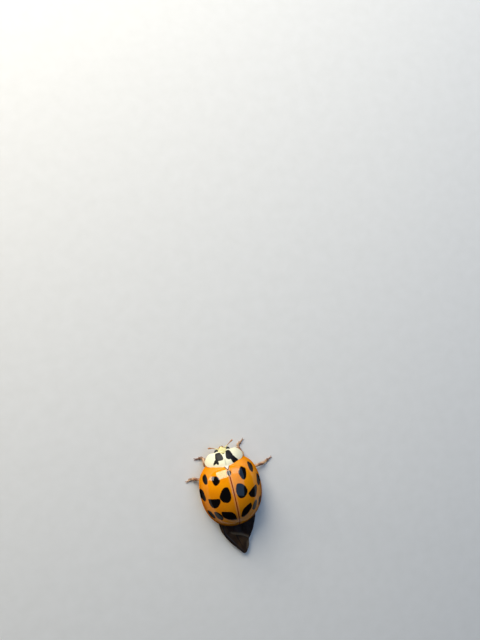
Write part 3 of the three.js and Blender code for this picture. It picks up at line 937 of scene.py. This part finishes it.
def scutellum():
    """A small rounded triangle let in between the wing cases and the neck shield."""
    corner_x, corner_y = 0.235, -2.4
    half = [Vector((x, -2.44)) for x in (0, 0.12, 0.2)] + [Vector((corner_x, -2.42))]
    for t in (0.1, 0.3, 0.5, 0.7, 0.85, 0.95):
        half.append(Vector((corner_x - 0.225 * t, corner_y + 0.24 * t**0.92)))
    outline = mirrored(half + [Vector((0, -2.15))])
    plate = lay_outline(outline)
    bpy.ops.mesh.select_all(action="SELECT")
    draw_in((0.9, 0.75, 0.55, 0.3), (0, -2.34, 0))
    made = bmesh.from_edit_mesh(plate.data)
    rise = (-0.07, -0.035, -0.015, -0.005, 0.0, 0.0)  # each ring against the wing cases
    for i, v in enumerate(made.verts):
        v.co.z = case_height(v.co.x, v.co.y) + rise[i // len(outline)]
    bmesh.update_edit_mesh(plate.data)
    finish_mesh()
    modify(plate, "SOLIDIFY", thickness=0.08, offset=-1.0)
    modify(plate, "SUBSURF", levels=2, render_levels=2)
    finish_mesh()
    deliver(plate, "scutellum_plate", SCUTELLUM, "scutellum", "scutellum")


scutellum()


# ---- Head ------------------------------------------------------------------

HEAD_PITCH = 0.42  # radians nose-down


def ball(centre, radii, pitch, segments, rings):
    """A ball drawn out to three radii, pitched nose-down and put in place."""
    deselect()
    bpy.ops.mesh.primitive_uv_sphere_add(segments=segments, ring_count=rings, radius=1)
    piece = bpy.context.object
    piece.data.transform(Matrix.Diagonal((*radii, 1)))
    piece.data.transform(Matrix.Rotation(pitch, 4, "X"))
    piece.data.transform(Matrix.Translation(centre))
    return piece


def mouth_plate(centre, size, pitch, flare, bow):
    """A small thick plate, its front edge widened and bowed ahead, pitched nose-down."""
    width, length, _ = size
    deselect()
    bpy.ops.mesh.primitive_cube_add(size=1)
    piece = edit(bpy.context.object)
    bpy.ops.mesh.select_all(action="SELECT")
    bpy.ops.transform.resize(value=size, center_override=(0, 0, 0))
    bpy.ops.mesh.subdivide(number_cuts=5)
    pick(lambda v: v.co.y < -0.2 * length)
    bpy.ops.transform.resize(value=(flare, 1, 1), center_override=(0, 0, 0))
    nudge(lambda v: abs(v.co.x) < 0.1 * width, (0, -bow, 0), 0.55 * width)
    nudge(lambda v: abs(v.co.x) > 0.45 * width, (0, 0, -0.25 * width), 0.4 * width)
    finish_mesh()
    modify(piece, "SUBSURF", levels=2, render_levels=2)
    piece.data.transform(Matrix.Translation(centre) @ Matrix.Rotation(pitch, 4, "X"))
    finish_mesh()
    return piece


def head():
    """The capsule: round brow, flattened face, cheeks drawn down, a groove above the mouth."""
    piece = edit(ball((0, -3.33, 1.09), (0.65, 0.46, 0.45), HEAD_PITCH, 56, 32))

    def brow(v):
        return abs(v.co.x) < 0.2 and v.co.y < -3.72

    nudge(brow, (0, 0.04, 0.01), 0.3)
    for side in (1, -1):

        def cheek(v):
            return side * v.co.x > 0.3 and v.co.z < 0.82 and v.co.y < -3.3

        def feeler_dent(v):
            return math.dist(v.co, (side * 0.36, -3.68, 1.03)) < 0.06

        nudge(cheek, (0, -0.04, -0.03), 0.2)
        nudge(feeler_dent, (0, 0.035, 0), 0.12)
    face_tilt = 0.85
    low = Vector((0, -math.cos(face_tilt), -math.sin(face_tilt)))
    pick(lambda f: f.normal.dot(low) > 0.93 and abs(middle(f).x) < 0.3, "faces")
    bpy.ops.mesh.inset(thickness=0.015, depth=-0.015)
    bpy.ops.mesh.inset(thickness=0.015, depth=0.012)
    finish_mesh()
    modify(piece, "SUBSURF", levels=1, render_levels=1)
    finish_mesh()
    deliver(piece, "head_capsule", FACE, "face", "head")

    clypeus = mouth_plate((0, -3.7, 0.89), (0.46, 0.16, 0.07), 0.75, 1.1, -0.02)
    deliver(clypeus, "clypeus", FACE, "face", "head")
    lip = mouth_plate((0, -3.75, 0.79), (0.36, 0.13, 0.05), 0.95, 0.92, 0.035)
    deliver(lip, "upper_lip_plate", LIP, "face", "upper_lip")


def compound_eye(side, name):
    """A ball of six-sided facets, each a low dome and about 0.02 mm across, as in life."""
    deselect()
    bpy.ops.mesh.primitive_ico_sphere_add(subdivisions=5, radius=1)
    eye = edit(bpy.context.object)
    bpy.ops.mesh.select_all(action="SELECT")
    bpy.ops.mesh.bevel(offset_type="PERCENT", offset_pct=33.3, affect="VERTICES", segments=1)
    bpy.ops.mesh.select_mode(type="FACE")
    bpy.ops.mesh.select_all(action="SELECT")
    bpy.ops.mesh.inset(thickness=0.006, depth=0.005, use_individual=True)
    bpy.ops.object.mode_set(mode="OBJECT")
    eye.data.transform(Matrix.Diagonal((0.22, 0.26, 0.27, 1)))
    eye.data.transform(Matrix.Rotation(side * 0.25, 4, "Z") @ Matrix.Rotation(HEAD_PITCH, 4, "X"))
    eye.data.transform(Matrix.Translation((side * 0.5, -3.5, 1.12)))
    bpy.ops.object.shade_smooth_by_angle(angle=math.radians(30))
    deliver(eye, f"compound_eye_{name}", EYE, "eye", f"eye_{name}")


head()
compound_eye(1, "left")
compound_eye(-1, "right")


# ---- Limbs -----------------------------------------------------------------


def limb(start, end, stations, up=(0, 0, 1), around=14):
    """A length of limb drawn ring by ring from start to end.
    Each station is (share of the length, half width, half thickness, bow)."""
    start, end = Vector(start), Vector(end)
    length = (end - start).length
    deselect()
    bpy.ops.mesh.primitive_circle_add(vertices=around, radius=1, fill_type="NGON")
    piece = edit(bpy.context.object)
    bpy.ops.mesh.select_all(action="SELECT")
    t0, w0, h0, b0 = stations[0]
    bpy.ops.transform.resize(value=(w0, h0, 1), center_override=(0, 0, 0))
    bpy.ops.transform.translate(value=(0, b0, t0 * length))
    for t, w, h, b in stations[1:]:
        step = (0, b - b0, (t - t0) * length)
        bpy.ops.mesh.extrude_region_move(TRANSFORM_OT_translate={"value": step})
        bpy.ops.transform.resize(value=(w / w0, h / h0, 1), center_override=(0, b, t * length))
        t0, w0, h0, b0 = t, w, h, b
    bpy.ops.mesh.select_all(action="SELECT")
    bpy.ops.mesh.normals_make_consistent(inside=False)
    along = (end - start).normalized()
    across = Vector(up).cross(along).normalized()
    turn = Matrix((across, along.cross(across), along)).transposed().to_4x4()
    take(piece)
    piece.matrix_world = Matrix.Translation(start) @ turn
    bpy.ops.object.transform_apply(location=True, rotation=True, scale=True)
    return piece


def smooth_limb(pieces):
    """Joins the lengths of a limb and rounds them off."""
    whole = join(pieces)
    modify(whole, "SUBSURF", levels=1, render_levels=1)
    take(whole)
    bpy.ops.object.shade_smooth_by_angle(angle=math.radians(60))
    return whole


FEELERS = {
    "left": [(0.36, -3.7, 1.01), (0.7, -3.94, 0.88), (1.02, -3.93, 0.72)],
    "right": [(-0.36, -3.7, 1.01), (-0.72, -3.95, 0.86), (-1.04, -4.06, 0.7)],
}
# The eleven joints of a feeler: length share and half width of each.
FEELER_JOINTS = [
    (0.16, 0.075), (0.09, 0.055), (0.11, 0.04), (0.07, 0.038), (0.07, 0.04), (0.06, 0.042),
    (0.06, 0.046), (0.07, 0.055), (0.1, 0.08), (0.1, 0.095), (0.11, 0.085),
]


def along_path(path, share):
    """A point on a bent line, at a share of its length."""
    points = [Vector(p) for p in path]
    lengths = [(b - a).length for a, b in zip(points, points[1:])]
    left = share * sum(lengths)
    for (a, b), length in zip(zip(points, points[1:]), lengths):
        if left <= length or b == points[-1]:
            return a.lerp(b, left / length)
        left -= length
    return points[-1]


def feeler(name):
    """Eleven joints in a ring-shaped socket: a stout root, a thin shaft and a loose club."""
    path = [Vector(p) for p in FEELERS[name]]
    club_end = 0.15  # the club reaches this far beyond the last point
    path[2] = path[2] + (path[2] - path[1]).normalized() * club_end
    bend = curve([p.to_tuple() for p in path], 24) + [path[2]]
    beads, at_share = [], 0.0
    whole = sum(share for share, _ in FEELER_JOINTS)
    for share, half in FEELER_JOINTS:
        a, b = (along_path(bend, s / whole) for s in (at_share, at_share + share))
        stations = [
            (0.0, half * 0.5, half * 0.45, 0),
            (0.12, half * 0.72, half * 0.6, 0),
            (0.6, half, half * 0.8, 0),
            (0.9, half * 0.95, half * 0.75, 0),
            (1.04, half * 0.5, half * 0.42, 0),
        ]
        beads.append(limb(a, b, stations, around=12))
        at_share += share
    way = (bend[1] - bend[0]).normalized()
    deselect()
    bpy.ops.mesh.primitive_torus_add(
        major_radius=0.075,
        minor_radius=0.022,
        major_segments=20,
        minor_segments=8,
        location=bend[0],
        rotation=way.to_track_quat("Z", "Y").to_euler(),
    )
    socket = take(bpy.context.object)
    bpy.ops.object.transform_apply(location=True, rotation=True, scale=True)
    whole = smooth_limb([beads[0], socket] + beads[1:])
    deliver(whole, f"feeler_{name}", FEELER, "limb", f"antenna_{name}")


JAW_STATIONS = [
    (0, 0.07, 0.05, 0), (0.3, 0.065, 0.045, 0.035), (0.6, 0.05, 0.038, 0.04),
    (0.85, 0.028, 0.025, 0.015), (1.0, 0.006, 0.008, -0.02),
]


def jaw(side, name):
    """One mandible: a stout curved tooth that closes across the mouth under the lip."""
    tip = (side * 0.02, -3.86 + 0.02 * side, 0.69)
    tooth = limb((side * 0.22, -3.64, 0.72), tip, JAW_STATIONS, up=(side, 0, 0), around=12)
    deliver(smooth_limb([tooth]), f"jaw_{name}", JAW, "face", "upper_lip")


def palp(side, name):
    """Four joints, the last one axe-shaped."""
    path = [(side * 0.24, -3.1, 0.58), (side * 0.28, -3.3, 0.44), (side * 0.27, -3.56, 0.26)]
    joints = [(0.0, 0.2, 0.05, 0.055), (0.2, 0.45, 0.05, 0.07), (0.45, 0.62, 0.05, 0.07)]
    beads = []
    for a, b, thin, thick in joints:
        stations = [(0, thin, thin, 0), (0.5, thick, thick * 0.8, 0), (0.9, thick, thick * 0.8, 0)]
        stations.append((1.02, thin, thin, 0))
        beads.append(limb(along_path(path, a), along_path(path, b), stations, around=12))
    axe = [(0, 0.045, 0.04, 0), (0.3, 0.09, 0.055, 0), (0.75, 0.15, 0.055, 0)]
    axe += [(0.95, 0.16, 0.05, 0), (1.0, 0.14, 0.03, 0)]
    beads.append(limb(along_path(path, 0.62), along_path(path, 1.0), axe))
    deliver(smooth_limb(beads), f"palp_{name}_axe", LIMB, "limb", f"palp_{name}")


# Each leg's hip, knee, ankle and toe.
LEGS = {
    "front_left": [
        (0.44, -2.62, 0.62), (1.78, -2.4, 0.58), (1.74, -3.1, 0.28), (2.44, -3.16, 0.19)],
    "front_right": [
        (-0.44, -2.62, 0.62), (-1.86, -2.46, 0.58), (-1.52, -3.3, 0.28), (-2.12, -3.72, 0.19)],
    "middle_left": [
        (0.85, -1.5, 0.58), (2.4, -1.4, 0.6), (3.15, -1.55, 0.28), (3.62, -1.42, 0.19)],
    "middle_right": [
        (-0.85, -1.5, 0.58), (-2.3, -1.2, 0.6), (-3.68, -1.15, 0.28), (-4.32, -1.42, 0.19)],
    "hind_left": [
        (0.85, -0.42, 0.58), (2.05, 0.5, 0.58), (2.0, 1.72, 0.28), (1.62, 2.4, 0.19)],
    "hind_right": [
        (-0.85, -0.42, 0.58), (-2.1, 0.42, 0.58), (-2.04, 1.64, 0.28), (-1.7, 2.34, 0.19)],
}
# Stations of each length of a leg, as limb() takes them.
COXA = [(0, 0.22, 0.2, 0), (0.35, 0.25, 0.22, 0), (0.8, 0.2, 0.18, 0), (1, 0.12, 0.11, 0)]
FEMUR = [
    (0, 0.09, 0.08, 0), (0.06, 0.15, 0.12, 0), (0.12, 0.145, 0.12, 0), (0.15, 0.17, 0.14, 0),
    (0.35, 0.22, 0.17, 0.01), (0.6, 0.22, 0.165, 0.02), (0.82, 0.19, 0.145, 0.01),
    (0.94, 0.15, 0.125, 0), (1.0, 0.12, 0.11, 0), (1.04, 0.06, 0.06, 0),
]
TIBIA = [
    (0, 0.06, 0.06, 0), (0.04, 0.105, 0.095, 0.01), (0.12, 0.105, 0.095, 0.02),
    (0.4, 0.125, 0.11, 0.03), (0.75, 0.15, 0.12, 0.02), (0.93, 0.16, 0.12, 0), (1, 0.13, 0.1, 0),
]
PAD = [
    (0, 0.06, 0.05, 0), (0.15, 0.09, 0.055, 0), (0.6, 0.15, 0.064, 0), (0.88, 0.175, 0.06, -0.005),
    (1.0, 0.135, 0.035, -0.01),
]
CLAW_JOINT = [
    (0, 0.045, 0.035, 0), (0.2, 0.06, 0.045, 0.02), (0.7, 0.075, 0.055, 0.03), (1, 0.06, 0.045, 0)]
CLAW = [
    (0, 0.03, 0.034, 0), (0.3, 0.028, 0.032, 0.02), (0.6, 0.022, 0.026, 0.0),
    (0.85, 0.014, 0.016, -0.045), (1.0, 0.004, 0.004, -0.09),
]
CLAW_TOOTH = [(0, 0.016, 0.018, 0), (0.6, 0.012, 0.013, -0.01), (1.0, 0.003, 0.003, -0.03)]
chance = random.Random(7)


def hairs_along(start, end, thick, count, length):
    """Hairs spread over a length of limb and leaning to its far end: (root, direction, length)."""
    along = (end - start).normalized()
    across = along.orthogonal().normalized()
    lean, over_floor = 0.9, 0.005
    made = []
    for _ in range(count):
        out = Matrix.Rotation(chance.uniform(0, 2 * math.pi), 3, along) @ across
        root = start.lerp(end, chance.uniform(0.05, 0.97)) + out * thick
        way = (out + along * lean * chance.uniform(0.7, 1.3)).normalized()
        reach = length * chance.uniform(0.7, 1.25)
        if min(root.z, root.z + way.z * reach) > over_floor:
            made.append((root, way, reach))
    return made


def bristles(hairs, name, *nodes):
    """Fine tapering bristles, each a slim four-sided cone rooted in the cuticle. They are about
    three times as thick as in life, so that they show."""
    deselect()
    bpy.ops.mesh.primitive_cone_add(vertices=4)
    piece = edit(bpy.context.object)
    bpy.ops.mesh.select_all(action="SELECT")
    bpy.ops.mesh.delete(type="VERT")
    for root, way, length in hairs:
        bpy.ops.mesh.primitive_cone_add(
            vertices=4,
            radius1=0.008,
            radius2=0.001,
            depth=length,
            location=root + way * length * 0.4,
            rotation=way.to_track_quat("Z", "Y").to_euler(),
        )
    bpy.ops.object.mode_set(mode="OBJECT")
    deliver(piece, name, BRISTLE, "limb", *nodes)


def leg(name):
    """Hip and thigh, shin, and a foot of two broad padded joints and a slender clawed one."""
    hip, knee, ankle, toe = (Vector(p) for p in LEGS[name])
    node = f"leg_{name}"
    # The hip joint starts inside the breast and reaches a little past the thigh's root.
    inner = hip + Vector((-0.22 if hip.x > 0 else 0.22, 0, 0.1))
    socket = limb(inner, hip + (hip - inner) * 0.4, COXA)
    thigh = limb(hip, knee, FEMUR)
    deliver(smooth_limb([socket, thigh]), f"{node}_thigh", THIGH, "limb", f"{node}_femur")

    ankle.z = 0.2
    shin = limb(knee, ankle, TIBIA)
    deliver(smooth_limb([shin]), f"{node}_shin", LIMB, "limb", f"{node}_tibia")

    # The foot's joints come down from the ankle and run along just above the floor.
    toe.z = 0.06
    first = ankle.lerp(toe, 0.33)
    first.z = 0.07
    second = ankle.lerp(toe, 0.6)
    second.z = 0.06
    start = ankle.copy()
    start.z = 0.16
    beads = [limb(start, first, PAD), limb(first, second, PAD)]
    root = first.lerp(second, 0.8)
    root.z = 0.085
    beads.append(limb(root, toe, CLAW_JOINT, around=12))
    ahead = (toe - root).normalized()
    side = ahead.cross(Vector((0, 0, 1))).normalized()
    # Two claws side by side, each with a tooth at its root.
    for s in (1, -1):
        base = toe + side * 0.02 * s
        tip = base + ahead * 0.15 + side * 0.075 * s
        tip.z = base.z + 0.03
        beads.append(limb(base, tip, CLAW, around=8))
        tooth = base + ahead * 0.07 + side * 0.015 * s
        tooth.z = base.z - 0.02
        beads.append(limb(base, tooth, CLAW_TOOTH, around=8))
    deliver(smooth_limb(beads), f"{node}_foot", LIMB, "limb", f"{node}_tarsus")

    # Each stretch of hairs: from, to, the limb's half width, how many and how long.
    stretches = [
        (hip.lerp(knee, 0.4), knee, 0.17, 24, 0.09),
        (knee, ankle, 0.11, 90, 0.13),
        (start, first, 0.07, 30, 0.1),
        (first, second, 0.07, 24, 0.1),
    ]
    hairs = [hair for stretch in stretches for hair in hairs_along(*stretch)]
    bristles(hairs, f"{node}_bristles", f"{node}_tibia", f"{node}_tarsus")


for side, name in ((1, "left"), (-1, "right")):
    feeler(name)
    palp(side, name)
    jaw(side, name)
for name in LEGS:
    leg(name)


# ---- Underside -------------------------------------------------------------

WAIST = -1.35  # the groove across the breast
BREAST_FRONT = -2.38
SWELL = 0.09  # how much a plate rises from its front edge to its rear edge
GROOVE = 0.04  # the depth of the groove down the middle of the breast


def belly_bowl():
    """The round underside below the rim of the wing cases."""
    bowl = egg_circle(ELYTRA, 0.46, 112)
    depth, rings = 0.44, 18
    profile = [(0.9, ELYTRA["base"] + 0.25, 0), (0.985, ELYTRA["base"] + 0.12, 0)]
    for i in range(rings):
        angle = (math.pi / 2) * (i / rings)
        profile.append((math.cos(angle), ELYTRA["base"] - depth * math.sin(angle), 0))
    raise_rings(profile)
    return bowl


def underside():
    """The breast and belly, cut from one bowl, and the plate under the neck."""
    bowl = belly_bowl()
    # Cuts close to each plate's edge and to the middle line keep the swellings below crisp.
    for y in BANDS:
        for step in (-0.03, 0.0, 0.025):
            cut((0, y + step, 0), (0, 1, 0))
    for step in (-0.03, 0.0, 0.03):
        cut((0, WAIST + step, 0), (0, 1, 0))
    for x in (-0.03, 0.0, 0.03):
        pick(lambda f: middle(f).y < BANDS[0], "faces")
        cut((x, 0, 0), (1, 0, 0), whole=False)
    finish_mesh()
    edit(bowl)
    made = bmesh.from_edit_mesh(bowl.data)
    made.normal_update()
    # Each plate swells towards its rear edge, and a groove runs down the middle of the breast.
    walls = [-2.6, WAIST] + BANDS + [3.0]
    moves = {}
    for v in made.verts:
        if v.co.z > ELYTRA["base"]:
            continue
        for a, b in zip(walls, walls[1:]):
            if a + 0.01 < v.co.y <= b + 0.01:
                share = (v.co.y - a) / (b - a)
                moves[v] = v.normal * (SWELL * (share - 0.6))
        if v.co.y < BANDS[0] - 0.05 and abs(v.co.x) < 0.01:
            moves[v] = moves.get(v, Vector()) - v.normal * GROOVE
    for v, move in moves.items():
        v.co += move
    for v in made.verts:
        v.co.y += BAND_BOW * v.co.x**2
    bmesh.update_edit_mesh(bowl.data)
    pick(lambda v: v.is_boundary)
    bpy.ops.mesh.edge_face_add()
    finish_mesh(45)
    take(bowl)
    bpy.ops.object.duplicate()
    abdomen = edit(bpy.context.object)
    cut((0, BANDS[0], 0), (0, 1, 0), inner=True, fill=True)
    finish_mesh(45)
    deliver(abdomen, "belly_plates", BELLY, "abdomen", "abdomen")
    edit(bowl)
    cut((0, BANDS[0], 0), (0, 1, 0), outer=True, fill=True)
    cut((0, BREAST_FRONT, 0), (0, 1, 0), inner=True, fill=True)
    finish_mesh(45)
    deliver(bowl, "breast_plates", BREAST, "underside", "thorax")

    plate = edit(ball((0, -2.82, 0.9), (1.3, 0.6, 0.38), 0, 48, 28))
    cut((0, 0, 0.98), (0, 0, 1), outer=True, fill=True)
    pick(lambda f: abs(middle(f).x) < 0.14 and f.normal.z < -0.6, "faces")
    bpy.ops.mesh.inset(thickness=0.02, depth=0.03)
    finish_mesh()
    modify(plate, "SUBSURF", levels=1, render_levels=1)
    finish_mesh()
    deliver(plate, "neck_plate", LIMB, "limb", "prosternum")


underside()


# ---- Hind wings ------------------------------------------------------------

# The wings' height along Y, and each wing's lowest and highest X along Y.
WING_TOP = [(1.5, 1.5), (2.2, 1.08), (2.8, 0.88), (4.5, 0.78), (6.4, 0.62)]
LEFT_WING = [
    (1.6, -0.3, 1.5), (2.6, -0.45, 1.71), (3.6, -0.58, 1.68), (4.3, -0.64, 1.41),
    (4.97, -0.6, 1.03), (5.58, -0.48, 0.6), (5.95, -0.28, 0.32), (6.14, -0.12, 0.17),
    (6.2, 0.0, 0.06),
]
RIGHT_WING = [
    (1.6, -1.5, 1.2), (2.3, -1.64, 1.25), (3.0, -1.64, 1.2), (3.4, -1.52, 1.12),
    (3.75, -1.35, 1.0), (4.07, -1.2, 0.78), (4.2, -1.13, 0.52), (4.4, -0.98, 0.05),
    (4.6, -0.85, -0.3), (4.8, -0.68, -0.5), (4.88, -0.6, -0.57),
]
WING_ARCH = 0.05  # the wings fall away to the sides by this times X^2
PLEAT = 0.05  # the height of a pleat
VEIN = 0.03  # how far a vein stands up, and how far it spreads beyond its drawn width


def through(table, y):
    """The values beside y in a table, with a smooth course between its rows, as a Hermite
    curve whose slopes come from the rows on either side."""
    if y <= table[0][0]:
        return table[0][1:]
    for i, (a, b) in enumerate(zip(table, table[1:])):
        if y <= b[0]:
            t = (y - a[0]) / (b[0] - a[0])
            before, after = table[max(i - 1, 0)], table[min(i + 2, len(table) - 1)]
            made = []
            for c in range(1, len(a)):
                m0 = (b[c] - before[c]) / (b[0] - before[0]) * (b[0] - a[0])
                m1 = (after[c] - a[c]) / (after[0] - a[0]) * (b[0] - a[0])
                made.append(
                    (2 * t**3 - 3 * t**2 + 1) * a[c] + (t**3 - 2 * t**2 + t) * m0
                    + (3 * t**2 - 2 * t**3) * b[c] + (t**3 - t**2) * m1
                )
            return made
    return table[-1][1:]


def hind_wing(name, table, drop, veins):
    """A thin membrane over the belly, pleated towards its tip, with raised veins."""
    deselect()
    bpy.ops.mesh.primitive_grid_add(x_subdivisions=64, y_subdivisions=120, size=1)
    wing = edit(bpy.context.object)
    made = bmesh.from_edit_mesh(wing.data)
    first, last = table[0][0], table[-1][0]
    rods = [(Vector(rod[:2]), Vector(rod[3:5]), rod[2] + VEIN) for rod in veins]
    tip_x, behind, pleats = 0.5 * sum(table[-1][1:]), 0.6, 3.5
    for v in made.verts:
        u, w = v.co.x + 0.5, v.co.y + 0.5
        y = first + (last - first) * w
        low, high = through(table, y)
        x = low + (high - low) * u
        (top,) = through(WING_TOP, y)
        # The pleats fan out from a place behind the tip, and fade at the free edges.
        fan = math.atan2(x - tip_x, last + behind - y)
        pleat = abs((fan * pleats) % 2 - 1) - 0.5
        fade = min(1, (y - first) / 2) * min(1, 6 * u, 6 * (1 - u), 4 * (1 - w))
        fold = PLEAT * pleat * fade
        rise = fold
        for a, b, radius in rods:
            place = Vector((x, y))
            share = max(0, min(1, (place - a).dot(b - a) / (b - a).length_squared))
            away = (place - a.lerp(b, share)).length
            if away < radius:
                rise = max(rise, fold + VEIN * (1 - away / radius))
        v.co = (x, y, top - drop - WING_ARCH * x * x + rise)
    bmesh.update_edit_mesh(wing.data)
    finish_mesh()
    modify(wing, "SOLIDIFY", thickness=0.014, offset=-1.0)
    finish_mesh(40)
    deliver(wing, f"wing_tip_{name}", WINGS[name], "hind_wing", f"hindwing_{name}")


hind_wing("left", LEFT_WING, 0.17, LEFT_VEINS)
hind_wing("right", RIGHT_WING, 0.04, RIGHT_VEINS)


# ---- Camera, floor and light -----------------------------------------------


def at(x, y, z):
    """A place in the animal's millimetres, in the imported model's frame."""
    return (Vector((x, y, z)) + SEAM_AT) * MM


# The camera is 43 mm above the floor and looks almost straight down, the head at the top.
camera_data = bpy.data.cameras.new("camera")
camera = bpy.data.objects.new("camera", camera_data)
bpy.context.scene.collection.objects.link(camera)
camera_data.lens = 26.44
camera_data.sensor_width = 36
camera_data.clip_start = 0.001
camera_data.clip_end = 10
right, down, forward = (
    Vector((-0.9576, 0.2278, 0.1764)),
    Vector((0.2258, 0.9737, -0.0312)),
    Vector((-0.1789, 0.0099, -0.9838)),
)
turn = Matrix((right, -down, -forward)).transposed().to_4x4()
camera.matrix_world = Matrix.Translation(at(3.336, -14.927, 43.014)) @ turn
bpy.context.scene.camera = camera


def board():
    """The floor. It is emulsion paint rolled on smooth board: matt and pale, so it gives the
    animal a soft shadow and no reflection. The roller's grain is about a millimetre across."""
    deselect()
    bpy.ops.mesh.primitive_circle_add(vertices=96, radius=1.5, fill_type="NGON")
    floor = rename(bpy.context.object, "floor")
    material, put = new_material("matt_painted_board")
    where = put("TexCoord", out="Object")
    grain = put("TexNoise", {"Vector": where, "Scale": 900.0, "Detail": 4.0})
    paint = painted(put, "#dedbd4", (grain, "#e6e3dd"))
    shader = put("BsdfPrincipled", {"Base Color": paint, "Roughness": 0.8})
    put("OutputMaterial", (shader,))
    floor.data.materials.append(material)


def softbox(name, azimuth, elevation, distance, size, power, colour, roll=0.0):
    """A rectangular soft light aimed at the wing cases and rolled about its own axis.
    Azimuth 0 is ahead of the animal and 90 on its left."""
    data = bpy.data.lights.new(name, "AREA")
    data.shape = "RECTANGLE"
    data.size, data.size_y = (s * MM for s in size)
    data.energy = power
    data.color = colour
    lamp = bpy.data.objects.new(name, data)
    bpy.context.scene.collection.objects.link(lamp)
    a, e = math.radians(azimuth), math.radians(elevation)
    away = Vector((math.sin(a) * math.cos(e), -math.cos(a) * math.cos(e), math.sin(e)))
    lamp.location = at(0, -0.5, 2.5) + away * distance * MM
    facing = away.to_track_quat("Z", "Y").to_matrix() @ Matrix.Rotation(math.radians(roll), 3, "Z")
    lamp.rotation_euler = facing.to_euler()


board()
# A warm key lays the bright patch on the front of the left wing case. A low box lights the
# left flank, another fills in, and a long blue panel lays a bluish veil beside the seam.
softbox("key_softbox", 15, 30, 150, (88, 100), 0.275, (1.0, 0.96, 0.87), roll=-8)
softbox("side_softbox", 56, 9, 150, (70, 38), 0.05, (1.0, 0.96, 0.88), roll=-65)
softbox("fill_softbox", -26, 30, 150, (70, 60), 0.03, (1.0, 0.97, 0.93))
softbox("sky_panel", -48, 52, 160, (377, 130), 0.15, (0.3, 0.56, 1.0), roll=-52)

world = bpy.data.worlds.new("studio")
bpy.context.scene.world = world
world.use_nodes = True
surround = world.node_tree.nodes["Background"].inputs
surround["Color"].default_value = srgb("#d6d6d6")
surround["Strength"].default_value = 0.04
bpy.context.scene.view_settings.view_transform = "Standard"
